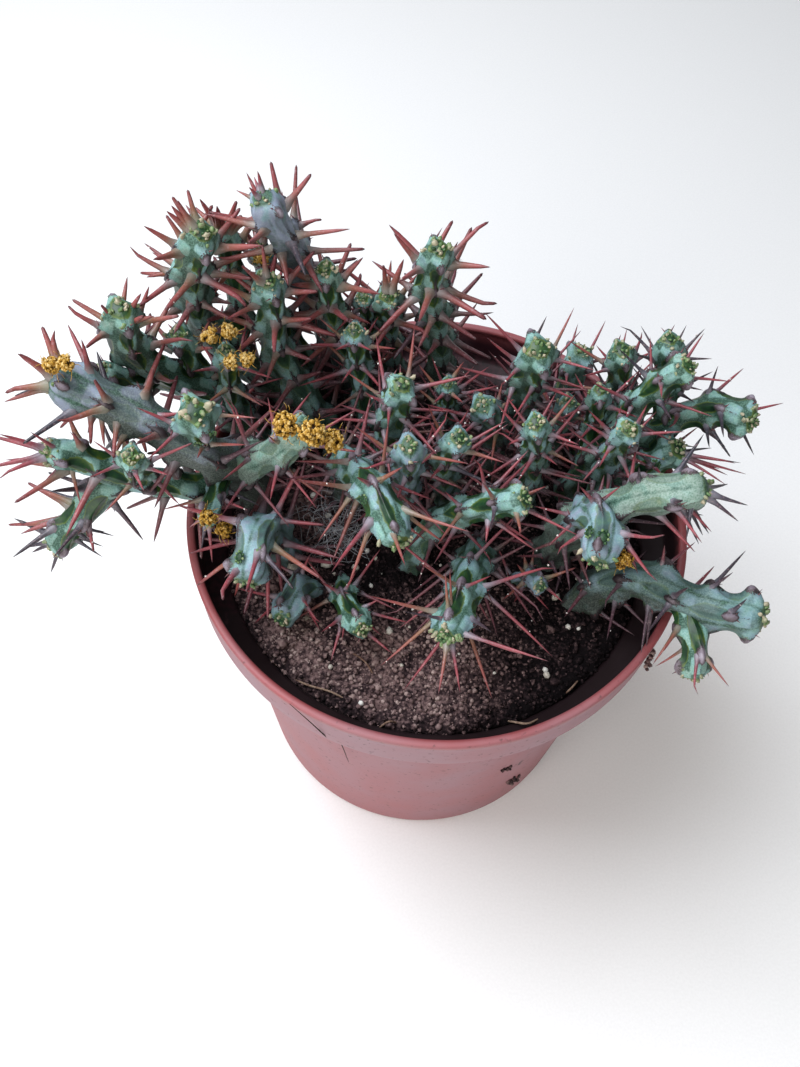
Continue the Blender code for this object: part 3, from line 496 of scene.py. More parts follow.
@dataclass(frozen=True)
class NurseryPlastic:
    """Thermoformed polypropylene in terracotta: satin, chalky with lime outside, with painted shade inside
    the pot and on the band's sides.
    """

    name: str = "thermoformed_terracotta_polypropylene"
    bloom: float = 14.0  # clouds of lime dust
    scuff: float = 1.1  # fine scuffs and splashes

    def material(self) -> bpy.types.Material:
        """Lay dust, mud and painted shade over the plastic by the wall's own values.

        Returns:
            The pot's material.
        """
        made, add, shader, place = start_material(self.name)
        dust, mud, inside = (add("Attribute", output="Fac", attribute_name=key)
                             for key in ("dust", "mud", "inside"))
        clouds, scuffs = (add("TexNoise", {"Vector": place, "Scale": 1 / (size * MM), "Detail": detail})
                          for size, detail in ((self.bloom, 5.0), (self.scuff, 4.0)))
        cloudy = add("MapRange", (clouds, 0.3, 0.7, -0.22, 0.22))
        # the dust value is real lime dust, lowered on the band's sides as painted shade
        dust_and_side_shade = add("Math", (dust, cloudy), operation="ADD", use_clamp=True)
        # painted shade: the inside value turns the plastic dark maroon inside the pot
        plastic_with_inner_shade = add("Mix", {0: inside, 6: "#9C4C4E", 7: "#361820"}, **COLOURS)
        wall = add("Mix", {0: dust_and_side_shade, 6: plastic_with_inner_shade, 7: "#9A7B83"}, **COLOURS)
        # mud: real splashes of soil outside; on the inner wall it is painted shade, near-black where the
        # inside value is high
        edge = add("Math", (scuffs, 1.6, mud), operation="MULTIPLY_ADD")
        mud_and_shade_mask = add("MapRange", (edge, 0.98, 1.25, 0.0, 0.9))
        mud_colour_with_inner_shade = add("Mix", {0: inside, 6: "#4A3636", 7: "#1A0F11"}, **COLOURS)
        wall = add("Mix", {0: mud_and_shade_mask, 6: wall, 7: mud_colour_with_inner_shade}, **COLOURS)
        rough = add("MapRange", (dust_and_side_shade, 0.0, 1.0, 0.5, 0.7))
        bump = add("Bump", {"Height": scuffs, "Strength": 0.12, "Distance": 0.1 * MM})
        feed(shader, {"Base Color": wall, "Roughness": rough, "Normal": bump})
        return made


class Finishes:
    """Every finish of the plant and pot, made into a material once."""

    def __init__(self) -> None:
        """Make the materials."""
        self.skin = WaxedSkin().material()
        self.spine = SpineHorn().material()
        # young growth: glossy little bumps, yellow-green over dark green, with buff leaf stumps
        self.young = TonedTissue("young_tubercle_tissue", (
            (0.0, "#16351F"), (1.0, "#B8AC94"), (0.25, "#385A34"), (0.5, "#6C8856"),
            (0.72, "#96967A")), 0.5, 0.5, 0.10, 0.4).material()
        # flower cups: waxy golden nectar glands, brown where they have dried and where painted shade
        # darkens their dents
        self.flower = TonedTissue("dried_flower_cup_tissue", (
            (0.0, "#2A180A"), (1.0, "#DCC080"), (0.3, "#6E4A16"), (0.55, "#A07826"),
            (0.8, "#C0943A")), 0.5, 0.5, 0.08).material()
        self.plastic = NurseryPlastic().material()
        # peat and loam in crumbs: dry and dull; the near-black end carries painted shade in the hollow, at
        # the right and by the wall
        self.soil = TonedTissue("peat_and_loam_crumb", (
            (0.0, "#0E090B"), (1.0, "#D2C2BA"), (0.22, "#35282A"), (0.48, "#7E6664"),
            (0.76, "#AC9690")), 0.95, 0.7, 0.25, 0.15).material()
        # expanded perlite and grit: chalk-white foam glass, dusty
        self.perlite = TonedTissue("expanded_perlite", (
            (0.0, "#8C8072"), (1.0, "#F2F0EA"), (0.5, "#C9C2B6")), 0.8, 0.5, 0.12).material()
        # dead roots and straw: pale brown fibres
        self.fibre = TonedTissue("dry_root_fibre", (
            (0.0, "#2A1C1A"), (1.0, "#B49C86"), (0.5, "#75584A")), 0.8, 0.6, 0.05).material()
        # cobweb: grey-white silk with dust in it
        self.silk = TonedTissue("dusty_cobweb_silk", (
            (0.0, "#6E7078"), (1.0, "#D8DADE"), (0.5, "#A3A6AC")), 0.6, 0.5, 0.02).material()
        # lime beads left on the spines by hard water
        self.bead = TonedTissue("hard_water_bead", (
            (0.0, "#C9B7B2"), (1.0, "#FBF9F6"), (0.5, "#EDE4DF")), 0.35, 0.3, 0.02, 0.6).material()


# ---- arrays and meshes

def unit(vectors: Array) -> Array:
    """The vectors at length one, along the last axis."""
    return vectors / np.maximum(np.linalg.norm(vectors, axis=-1, keepdims=True), 1e-9)


def ease(low: float, high: float, value: Array) -> Array:
    """A smooth step: 0 below low, 1 above high, and 3t^2 - 2t^3 between."""
    t = np.clip((value - low) / (high - low), 0, 1)
    return t * t * (3 - 2 * t)


def circle(count: int) -> Array:
    """Even angles round a full turn, in radians."""
    return TAU * np.arange(count) / count


def turned(first: Array, second: Array, angle: Array) -> Array:
    """The first direction, turned towards the second by angles in radians."""
    return np.cos(angle)[..., None] * first + np.sin(angle)[..., None] * second


def smooth_route(points: tuple[Point, ...], per_span: int = 24) -> Array:
    """Points on a Catmull-Rom curve through the route, raised from the rim to the base's frame.

    Args:
        points: The route, from the rim's middle.
        per_span: Points for each span of the route.

    Returns:
        An array of points, one row each.
    """
    route = np.array(points, float) + (0, 0, POT_HEIGHT)
    ends = np.vstack([2 * route[0] - route[1], route, 2 * route[-1] - route[-2]])
    t = np.linspace(0, 1, per_span, endpoint=False)[:, None]
    spans = [
        0.5 * (2 * b + (c - a) * t + (2 * a - 5 * b + 4 * c - d) * t ** 2
               + (3 * b - a - 3 * c + d) * t ** 3)
        for a, b, c, d in zip(ends, ends[1:], ends[2:], ends[3:])
    ]
    return np.vstack(spans + [route[-1:]])


def lattice_noise(x: Array, y: Array, cell: float, seed: int) -> Array:
    """Smooth random heights from -1 to 1: a square lattice of random values, blended within cells.

    Args:
        x: Places across.
        y: Places along.
        cell: The lattice's cell.
        seed: Picks the random values.

    Returns:
        A height for each place.
    """
    size = 97
    table = np.random.default_rng(seed).uniform(-1, 1, (size, size))
    i, j = np.floor(x / cell).astype(int), np.floor(y / cell).astype(int)
    s, t = ease(0, 1, x / cell - i), ease(0, 1, y / cell - j)
    rows = [table[(i + a) % size, (j + b) % size] for a, b in ((0, 0), (1, 0), (0, 1), (1, 1))]
    return (rows[0] * (1 - s) + rows[1] * s) * (1 - t) + (rows[2] * (1 - s) + rows[3] * s) * t


def tube_faces(rings: int, sides: int) -> Faces:
    """Faces of a closed tube whose points are ring after ring, then the root's pole and the tip's.

    Args:
        rings: Number of rings.
        sides: Points of a ring.

    Returns:
        Four-cornered faces between rings, and the triangles that close both ends.
    """
    here = np.arange(sides)
    after = (here + 1) % sides
    row = np.arange(rings - 1)[:, None] * sides
    quads = np.stack([row + here, row + after, row + sides + after, row + sides + here], -1)
    root, last = np.full(sides, rings * sides), (rings - 1) * sides
    tris = np.vstack([np.stack([after, here, root], -1),
                      np.stack([last + here, last + after, root + 1], -1)])
    return quads.reshape(-1, 4), tris


def over_rings(rings: Array, sides: int, root: float, tip: float) -> Array:
    """Values of tubes' rings, (tubes, rings), given to each ring's points, then the two poles'."""
    poles = np.broadcast_to([root, tip], (len(rings), 2))
    return np.hstack([np.repeat(rings, sides, axis=1), poles])


def ball(columns: int, rows: int) -> tuple[Array, Array, Array]:
    """A unit ball as a closed tube: ring radius sin(b), height -cos(b), with a pole at each end.

    Args:
        columns: Points of a ring.
        rows: Number of rings.

    Returns:
        Points, four-cornered faces and triangles.
    """
    b, a = math.pi * (np.arange(rows) + 1)[:, None] / (rows + 1), circle(columns)
    ring = np.stack([np.sin(b) * np.cos(a), np.sin(b) * np.sin(a), -np.cos(b) + 0 * a], -1)
    return np.vstack([ring.reshape(-1, 3), [[0, 0, -1], [0, 0, 1]]]), *tube_faces(rows, columns)


def rock(coarse: bool = False) -> tuple[Array, Array, Array]:
    """A unit icosahedron, or an octahedron where it is coarse: faces where three corners touch.

    Args:
        coarse: Whether eight faces will do, as for the smallest crumbs.

    Returns:
        Its points, no four-cornered faces, and its triangles, which face outwards.
    """
    golden = (1 + 5 ** 0.5) / 2
    base = [(0, a, b * golden) for a in (-1, 1) for b in (-1, 1)]
    if coarse:
        base = [(0, 0, b) for b in (-1, 1)]
    corners = np.array([np.roll(p, k) for p in base for k in range(3)], float)
    edge = 1.5 if coarse else 2.1
    faces = []
    for trio in itertools.combinations(range(len(corners)), 3):
        a, b, c = corners[list(trio)]
        if max(np.linalg.norm(a - b), np.linalg.norm(b - c), np.linalg.norm(c - a)) < edge:
            outward = np.cross(b - a, c - a) @ (a + b + c) > 0
            faces.append(trio if outward else trio[::-1])
    return unit(corners), np.zeros((0, 4), int), np.array(faces)


class Surface:
    """Collects surfaces of one piece, with named values at every point."""

    def __init__(self) -> None:
        """Start empty."""
        self.points, self.quads, self.tris, self.finish = [], [], [], []
        self.values: dict[str, list[tuple[int, Array]]] = {}
        self.count = 0

    def add(self, points: Array, quads: Array, tris: Array, finish: int = 0,
            **values: Array | float) -> None:
        """Add one surface, or copies of one.

        Args:
            points: Places in millimetres, (points, 3) or (copies, points, 3).
            quads: One copy's four-cornered faces by point number.
            tris: One copy's triangles by point number.
            finish: Number of the piece's material that it wears.
            values: Named values: one number, one for each copy, or one for each point.
        """
        count, each = points.shape[:-1] if points.ndim == 3 else (1, len(points))
        shift = self.count + (np.arange(count) * each)[:, None, None]
        self.quads.append((quads + shift).reshape(-1, 4))
        self.tris.append((tris + shift).reshape(-1, 3))
        self.points.append(points.reshape(-1, 3))
        self.finish.append(finish)
        for name, value in values.items():
            rows = np.asarray(value, float)
            rows = rows[:, None] if rows.ndim == 1 and points.ndim == 3 else rows
            full = np.broadcast_to(rows, (count, each)).reshape(-1)
            self.values.setdefault(name, []).append((self.count, full))
        self.count += count * each

    def add_tubes(self, centres: Array, across: Array, over: Array, radii: Array, sides: int,
                  poles: Faces, **values: Array | float) -> None:
        """Add closed tubes: centre + radius (cos a across + sin a over) at each ring.

        Args:
            centres: Ring centres, (tubes, rings, 3).
            across: First direction, of each ring or of all.
            over: Second direction, square to the first.
            radii: Ring radii, (tubes, rings), or fewer where they repeat.
            sides: Points of a ring.
            poles: Root poles and tip poles, (tubes, 3) each.
            values: Named values, as for add.
        """
        spokes = turned(across[:, :, None], over[:, :, None], circle(sides))
        rings = centres[:, :, None] + spokes * radii[:, :, None, None]
        rings = rings.reshape(len(centres), centres.shape[1] * sides, 3)
        points = np.concatenate([rings, poles[0][:, None], poles[1][:, None]], axis=1)
        self.add(points, *tube_faces(centres.shape[1], sides), **values)

    def add_threads(self, path: Array, radii: Array, sides: int, aside: Point, cap: float = 0.0,
                    **values: Array | float) -> None:
        """Add tubes that follow paths.

        Args:
            path: Points along each, (threads, points, 3).
            radii: Radii at the points.
            sides: Points of a ring.
            aside: A direction that no path runs in.
            cap: How far the tip's pole stands out.
            values: Named values, as for add.
        """
        heading = unit(np.gradient(path, axis=1))
        across = unit(np.cross(heading, aside))
        self.add_tubes(path, across, np.cross(heading, across), radii, sides,
                       (path[:, 0], path[:, -1] + heading[:, -1] * cap), **values)

    def mesh(self, name: str, materials: list[bpy.types.Material]) -> bpy.types.Mesh:
        """Put the surfaces in one mesh, in metres.

        Args:
            name: The mesh's name.
            materials: Its materials in order.

        Returns:
            The mesh.
        """
        points = np.vstack(self.points) * MM
        quads, tris = np.vstack(self.quads), np.vstack(self.tris)
        made = bpy.data.meshes.new(name)
        made.vertices.add(len(points))
        made.vertices.foreach_set("co", points.astype(np.float32).ravel())
        made.loops.add(quads.size + tris.size)
        made.loops.foreach_set("vertex_index", np.concatenate([quads.ravel(), tris.ravel()]))
        made.polygons.add(len(quads) + len(tris))
        starts = np.concatenate([np.arange(len(quads)) * 4, quads.size + np.arange(len(tris)) * 3])
        made.polygons.foreach_set("loop_start", starts)
        worn = [np.full(len(part), number) for parts in (self.quads, self.tris)
                for part, number in zip(parts, self.finish)]
        made.polygons.foreach_set("material_index", np.concatenate(worn))
        made.update(calc_edges=True)
        for key, parts in self.values.items():
            full = np.zeros(len(points), np.float32)
            for start, value in parts:
                full[start:start + len(value)] = value
            made.attributes.new(key, "FLOAT", "POINT").data.foreach_set("value", full)
        for material in materials:
            made.materials.append(material)
        made.shade_smooth()
        return made

    def object(self, name: str, materials: list[bpy.types.Material]) -> bpy.types.Object:
        """Make the mesh's object.

        Args:
            name: Its name.
            materials: Its materials in order.

        Returns:
            The object, at the origin.
        """
        made = bpy.data.objects.new(name, self.mesh(name, materials))
        bpy.context.scene.collection.objects.link(made)
        return made

    def piece(self, name: str, materials: list[bpy.types.Material], slot: str,
              stands_for: tuple[str, ...] = ()) -> bpy.types.Object:
        """Make the piece, and let it ride on the pot's body.

        Args:
            name: The piece's name.
            materials: Its materials in order.
            slot: The record's material slot that it would take its finish from; not used.
            stands_for: Solids that it replaces.

        Returns:
            The piece.
        """
        made = self.object(name, materials)
        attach(made, BODY)
        if stands_for:
            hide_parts(*stands_for)
        LOG.info("%s: %d faces", name, len(made.data.polygons))
        return made


# ---- stems

class GrowthLine:
    """A shoot's centre line, with a front direction that follows it without twisting."""

    def __init__(self, shoot: Shoot) -> None:
        """Lay the curve and carry the front direction along it.

        Args:
            shoot: The shoot whose route is followed.
        """
        self.shoot = shoot
        self.points = smooth_route(shoot.route)
        steps = np.linalg.norm(np.diff(self.points, axis=0), axis=1)
        self.along = np.concatenate([[0.0], np.cumsum(steps)])
        self.length = float(self.along[-1])
        front, carried = np.array([0.0, -1.0, 0.0]), []
        for heading in unit(np.gradient(self.points, axis=0)):
            front = unit(front - heading * front.dot(heading))
            carried.append(front)
        self.fronts = np.array(carried)

    def between(self, rows: Array, distance: Array) -> Array:
        """Rows given at the curve's points, at distances from the root."""
        return np.stack([np.interp(distance, self.along, rows[:, k]) for k in range(3)], -1)

    def at(self, distance: Array) -> Array:
        """Points at distances from the root; past the tip the line runs straight on."""
        past = np.asarray(distance) - np.clip(distance, 0, self.length)
        return self.between(self.points, distance) + past[..., None] * unit(
            self.points[-1] - self.points[-3])

    def frames(self, distance: Array) -> tuple[Array, Array, Array]:
        """Growth, front and side directions at distances from the root.

        Args:
            distance: Distances, one-dimensional.

        Returns:
            Three arrays of unit vectors.
        """
        high = np.minimum(distance + 0.8, self.length)
        heading = unit(self.at(high) - self.at(np.clip(distance - 0.8, 0, self.length - 0.4)))
        front = self.between(self.fronts, distance)
        front = unit(front - heading * np.sum(front * heading, -1, keepdims=True))
        return heading, front, np.cross(heading, front)

    def half_girth(self, distance: Array) -> Array:
        """Half of the thickness at distances from the root."""
        root, tip = self.shoot.girth
        return 0.5 * (root + (tip - root) * np.clip(np.asarray(distance) / self.length, 0, 1))


def soil_height(x: Array, y: Array) -> Array:
    """The soil's broad shape: a low mound, with ripples from three sines, as in the solid.

    Args:
        x: Places across.
        y: Places along.

    Returns:
        Heights.
    """
    reach = np.hypot(x, y) / 46.6
    ripple = np.sin(x * 0.21 + 1.3) * np.cos(y * 0.17 - 0.6) + 0.5 * np.sin(x * 0.43 - y * 0.37)
    return POT_HEIGHT - SOIL_DEPTH + 1.6 * (1 - reach ** 2) + 0.5 * ripple


def clear_of_pot(points: Array, gap: float = 0.4) -> Array:
    """Whether points keep out of the pot's wall and lip and above the soil.

    Args:
        points: Places, in any shape that ends in 3.
        gap: Room to leave above the soil and the rim.

    Returns:
        True or false for each.
    """
    reach = np.hypot(points[..., 0], points[..., 1])
    height = points[..., 2]
    band, wall = ((reach > low) & (reach < high) for low, high in (BAND_ZONE, WALL_ZONE))
    beside = np.where(height > SHOULDER - WALL, band, wall) & (height < POT_HEIGHT + gap)
    below = height < soil_height(points[..., 0], points[..., 1]) + gap
    return ~(beside | (below & (reach < BAND_ZONE[0])))


class Thicket:
    """All stems as rows of spheres, to tell which spines and shields are clear of them."""

    def __init__(self, lines: list[GrowthLine]) -> None:
        """Set a sphere on every millimetre of each line.

        Args:
            lines: The shoots' centre lines.
        """
        rows = [(line, np.arange(0, line.length, 1.0)) for line in lines]
        self.centres = np.vstack([line.at(stops) for line, stops in rows]).astype(np.float32)
        self.radii = np.concatenate([line.half_girth(stops) for line, stops in rows]).astype(np.float32)
        self.owners = np.repeat(np.arange(len(rows)), [len(stops) for _, stops in rows])

    def room(self, points: Array, skip: int = -1) -> Array:
        """Distance from each point to the nearest stem's side, less than 0 inside one.

        Args:
            points: Places, (n, 3).
            skip: A shoot that isn't counted.

        Returns:
            One distance for each point.
        """
        kept = self.owners != skip
        centres, radii = self.centres[kept], self.radii[kept]
        spots = points.astype(np.float32)
        square = (spots ** 2).sum(1)[:, None] + (centres ** 2).sum(1)[None] - 2 * spots @ centres.T
        return (np.sqrt(np.maximum(square, 0)) - radii[None]).min(1)


@dataclass
class Shields:
    """Shields: numbers from the tip, places, growth, outward and tangent directions, half girths."""

    number: Array
    spot: Array
    heading: Array
    outward: Array
    tangent: Array
    half: Array

    def those(self, chosen: Array) -> "Shields":
        """The shields that are picked out by a mask or by their positions."""
        return Shields(*(part[chosen] for part in vars(self).values()))

    def paired(self) -> tuple["Shields", Array]:
        """Every shield twice, and the side, -1 or 1, that each is for."""
        count = len(self.number)
        return self.those(np.repeat(np.arange(count), 2)), np.tile([-1.0, 1.0], count)

    def aim(self, splay: Array, lift: Array) -> Array:
        """Outward directions, turned by splay to the side and lifted towards the tip."""
        return turned(turned(self.outward, self.tangent, splay), self.heading, lift)


@dataclass
class StemSkin:
    """One shoot's ribbed body, its horn plates, spines, prickles, buds and tip rosette."""

    line: GrowthLine
    index: int
    is_branch: bool
    rng: np.random.Generator
    node_step: float = 5.4  # one pair of shields to the next, crossed pair
    first_shield: float = 1.6
    columns: int = 48
    row_step: float = 0.55
    squareness: float = 1.12  # 1 is a sharp square, 2 a circle
    tooth: float = 0.26  # a shield's rise, in half girths
    tip_side: float = 1.9  # a tooth's slope towards the tip
    root_side: float = 1.6  # and towards the root
    spine_rings: tuple[float, ...] = (0.0, 0.045, 0.11, 0.27, 0.52, 0.78, 0.95)
    spine_sides: int = 6
    swings: tuple[tuple[float, float], ...] = (  # turns that a spine tries, with its length's share
        (0, 1), (16, 1), (-16, 1), (32, 1), (-32, 1), (0, 0.55), (40, 0.6))
    beaded: float = 0.38  # share of spines with a lime bead

    def __post_init__(self) -> None:
        """Set out the shields, closer together towards the tip."""
        steps = self.node_step * (1 - 0.4 * np.exp(-np.arange(60) / 0.8))
        down = self.first_shield + np.concatenate([[0.0], np.cumsum(steps)])
        self.shields = self.line.length - down[down < self.line.length - 1.0]
        self.width = self.rng.uniform(0.8, 1.15, len(self.shields))
        self.start = self.skin_start()

    def dress(self, body: Surface, needles: Surface, beads: Surface, thicket: Thicket) -> None:
        """Add all that the shoot wears.

        Args:
            body: Gets the skin, the buds and the eyes.
            needles: Gets the spines and prickles.
            beads: Gets the lime beads.
            thicket: The stems to keep clear of.
        """
        shields = self.shown_shields(thicket)
        self.body(body)
        self.buds(body, shields)
        self.rosette(body)
        self.eyes(body)
        self.spines(needles, beads, shields, thicket)
        self.tufts(needles)
        self.prickles(needles, shields)

    def skin_start(self) -> float:
        """Where the skin starts: 3 mm under the soil, or at a branch's own root.

        Returns:
            The distance from the line's root.
        """
        if self.is_branch:
            return 0.0
        stops = np.arange(0, self.line.length, 0.5)
        x, y, z = self.line.at(stops).T
        under = z < soil_height(x, y) - 3.0
        return float(stops[under][-1]) if under.any() else 0.0

    def rows(self) -> tuple[Array, Array]:
        """Distances of the skin's rings, and how far the tip's dome has closed at each.

        The dome's radius is (1 - t^2.4)^(1/2.2) of the girth, with t from 0 to 1.

        Returns:
            Distances and radius shares.
        """
        tip = self.line.half_girth(self.line.length)
        low, high = self.line.length - 0.55 * tip, self.line.length + 0.30 * tip
        count = max(int((low - self.start) / self.row_step), 2)
        body = np.linspace(self.start, low, count, endpoint=False)
        t = np.sin(np.linspace(0, 0.5 * math.pi, 10, endpoint=False))
        return (np.concatenate([body, low + (high - low) * t]),
                np.concatenate([np.ones(count), (1 - t ** 2.4) ** (1 / 2.2)]))

    def squared(self, angle: Array) -> Array:
        """The ribbed section's radius, 0.95 / (|cos|^n + |sin|^n)^(1/n), at angles from a rib."""
        n = self.squareness
        return 0.95 / (np.abs(np.cos(angle)) ** n + np.abs(np.sin(angle)) ** n) ** (1 / n)

    def plate(self, offset: Array, keeled: Array) -> Array:
        """Half width of a horn plate: an oval round the spines, and a thin keel towards the tip.

        Args:
            offset: Distances from the shield, more than 0 towards the tip.
            keeled: Whether the shield's plate has the keel.

        Returns:
            Half widths, less than 0 away from the plate.
        """
        oval = 1.05 * np.sqrt(np.clip(1 - ((offset - 0.1) / 1.5) ** 2, 0, 1))
        keel = 0.32 * ease(3.6, 2.2, offset) * (offset > 0) * keeled
        away = 0.6 * np.clip(np.maximum(offset - 3.7, -offset - 1.4), 0, None)
        return np.maximum(oval, keel) - away

    def tongue(self, offset: Array) -> Array:
        """Half width of a green tongue: narrow at the shield, broad and round towards the root.

        Args:
            offset: Distances from the shield, more than 0 towards the tip.

        Returns:
            Half widths, less than 0 away from the tongue.
        """
        broad = 1.05 + 1.05 * ease(0.0, -2.6, offset)
        body = broad * np.sqrt(np.clip((offset + 6.6) / 2.6, 0, 1)) * ease(1.6, 0.2, offset)
        return body - 0.7 * np.clip(np.maximum(offset - 1.2, -offset - 6.6), 0, None)

    def relief(self, stops: Array) -> Array:
        """How high teeth and pads stand and how wide plates and green marks are, on both pairs of ribs.

        A tooth is exp(-(s / slope)^2) of the distance s from its shield, and a pad is
        exp(-((s - 2.4) / 1.7)^2).

        Args:
            stops: Distances from the root.

        Returns:
            Teeth, plate half widths, mark half widths and pads, (4, stops, 2).
        """
        found = []
        for pair in (0, 1):
            own, wide = self.shields[pair::2], self.width[pair::2]
            if len(own) == 0:
                own, wide = np.array([-50.0]), np.array([1.0])
            offset = stops[:, None] - own
            slope = np.where(offset > 0, self.tip_side, self.root_side)
            parts = (np.exp(-(offset / slope) ** 2) * wide,
                     self.plate(offset, self.line.length - own > 5.5) * wide,
                     self.tongue(offset) * wide, np.exp(-((offset - 2.4) / 1.7) ** 2))
            found.append([part.max(1) for part in parts])
        return np.stack(found, -1)

    def body(self, surface: Surface) -> None:
        """Add the ribbed skin.

        Its radius at distance d and angle p from a rib is half girth times the squared
        section, plus the teeth on the ribs, plus slow waves.

        Args:
            surface: Gets the skin.
        """
        line = self.line
        stops, dome = self.rows()
        down, dome, half = (line.length - stops)[:, None], dome[:, None], line.half_girth(stops)[:, None]
        angle = circle(self.columns) - 0.5 * np.sin(4 * circle(self.columns)) / 4
        rib = np.round(angle / (math.pi / 2)).astype(int)
        off = angle - rib * math.pi / 2
        tooth, plate, tongue, pad = self.relief(stops)[..., rib % 2]
        # the section, with slow waves and a tooth on the rib at each shield
        phase = self.rng.uniform(0, TAU, 4)
        run = stops[:, None]
        slow = 1 + 0.030 * np.sin(run / 3.7 + phase[0]) + 0.022 * np.sin(run / 1.9 + phase[1])
        wave = 0.025 * np.sin(2 * angle + run / 4.1 + phase[2])
        ridge = (self.tooth * tooth - 0.07 * (1 - tooth)) * np.exp(-(off / 0.34) ** 2)
        radius = half * dome * (self.squared(angle) * slow + wave + ridge)
        # horn plates and cheeks stand up, green marks are sunk
        face = half * np.abs(off)
        horn_edge, mark_edge = plate - face, tongue - face
        cheek = pad * np.exp(-((face - 1.7) / 1.0) ** 2)
        radius += dome * (0.46 * ease(-0.2, 0.35, horn_edge) - 0.30 * ease(-0.35, 0.3, mark_edge)
                          + 0.40 * cheek * ease(0.3, -0.3, mark_edge))
        if self.is_branch:
            radius *= 0.84 + 0.16 * ease(2.0, 9.0, run)
        _, front, side = line.frames(stops)
        spokes = turned(front[:, None], side[:, None], math.radians(line.shoot.turn) + angle)
        rings = line.at(stops)[:, None] + spokes * radius[:, :, None]
        poles = line.at(np.array([self.start - 0.05, stops[-1] + 0.03]))
        # wax, wear and marks, by age and by which way the skin faces; skin that faces down gets wear as
        # painted shade
        tone, wear, marks, wax = line.shoot.hue.value
        crease = np.exp(-((0.25 * math.pi - np.abs(off)) / 0.13) ** 2) * (1 - 0.6 * wax)
        padded = ease(0.10, 0.55, pad) * ease(3.6, 2.4, face)
        # painted shade: skin that faces down, away from the light, is counted as worn, so it turns to dark
        # cork
        below = ease(0.62, -0.30, spokes[..., 2]) * ease(3, 11, down)
        aged_and_shaded = 0.55 * ease(20, 60, down) + wear * (0.25 + 0.75 * ease(2, 11, down)) + 0.52 * below
        worn = {"wear": aged_and_shaded - 0.25, "marks": marks * (1 - 0.6 * ease(14, 50, down)),
                "mark_edge": np.maximum(mark_edge, 3.0 * (0.58 - dome)), "horn_edge": horn_edge,
                "film": np.maximum(wax * (1 - 0.8 * crease), padded) * ease(0.35, 0.9, dome) - 0.16}
        flat = {key: np.broadcast_to(part, radius.shape).reshape(-1) for key, part in worn.items()}
        surface.add(np.vstack([rings.reshape(-1, 3), poles]), *tube_faces(len(stops), self.columns),
                    tone=tone + self.rng.uniform(-0.08, 0.08),
                    **{key: np.append(part, part[[0, -1]]) for key, part in flat.items()})

    def shown_shields(self, thicket: Thicket) -> Shields:
        """Every shield that shows, one on each rib of its pair.

        Args:
            thicket: Tells the shields that lie inside another shoot.

        Returns:
            The shields.
        """
        number = np.repeat(np.arange(len(self.shields)), 2)
        stops = self.shields[number]
        heading, front, side = self.line.frames(stops)
        angle = (math.radians(self.line.shoot.turn) + 0.5 * math.pi * (number % 2)
                 + math.pi * np.tile([0, 1], len(self.shields)))
        outward = turned(front, side, angle)
        half = self.line.half_girth(stops)
        spot = self.line.at(stops) + outward * (half * np.where(number == 0, 0.85, 1.08))[:, None]
        shown = (thicket.room(spot, self.index) > 0.6) & clear_of_pot(spot)
        shown &= stops > self.start + (2.0 if self.is_branch else 3.6)
        tangent = turned(front, side, angle + 0.5 * math.pi)
        return Shields(number, spot, heading, outward, tangent, half).those(shown)

    def spines(self, surface: Surface, beads: Surface, shields: Shields, thicket: Thicket) -> None:
        """Add a pair of spines on every shield, each swung or shortened clear of other stems.

        Args:
            surface: Gets the spines.
            beads: Gets lime beads on some of them.
            shields: The shields that show.
            thicket: The stems to keep clear of.
        """
        shields, side = shields.paired()
        number, half, count, rng = shields.number, shields.half, len(side), self.rng
        splay = side * np.radians(rng.uniform(26, 46, count))
        lift = np.radians(np.select([number == 0, number == 1, number == 2],
                                    [50.0, 36.0, 25.0], 13.0) + rng.uniform(-13, 13, count))
        grown = np.select([number == 0, number == 1], [0.66, 0.95], 1.0)
        length = self.line.shoot.spine * grown * rng.uniform(0.68, 1.10, count)
        length = np.where(rng.random(count) < 0.10, length * 0.5, length)
        length *= 1 - 0.38 * ease(0.55, 0.92, shields.aim(splay, lift)[:, 2]) * (number < 3)
        foot = (shields.spot - shields.outward * (0.30 * half)[:, None]
                + shields.tangent * (side * 0.45)[:, None])
        chosen, reach = np.zeros((count, 3)), np.zeros(count)
        share = np.linspace(0.3, 1.0, 8)
        for swing, cut in self.swings:
            left = np.flatnonzero(reach == 0)
            way = shields.aim(splay + math.radians(swing), lift)[left]
            tries = foot[left, None] + way[:, None] * (length[left] * cut)[:, None, None] * share[:, None]
            flat = tries.reshape(-1, 3)
            free = ((thicket.room(flat) > 0.15) & clear_of_pot(flat)).reshape(-1, len(share)).all(1)
            chosen[left[free]] = way[free]
            reach[left[free]] = (length * cut)[left[free]]
        buried = self.line.length - self.shields[number]
        kept = (reach > 0) & (rng.random(count) > 0.05 + 0.30 * ease(18, 40, buried))
        amber, slate = self.line.shoot.tint.value
        fresh = np.where(number[kept] < 3, 0.18, 0.0)
        foot, way, reach = foot[kept], unit(chosen[kept]), reach[kept]
        self.add_spines(surface, foot, way, reach + 0.3 * half[kept], buried[kept],
                        (amber + fresh, slate), self.line.shoot.stout)
        self.add_beads(beads, foot, way, reach)

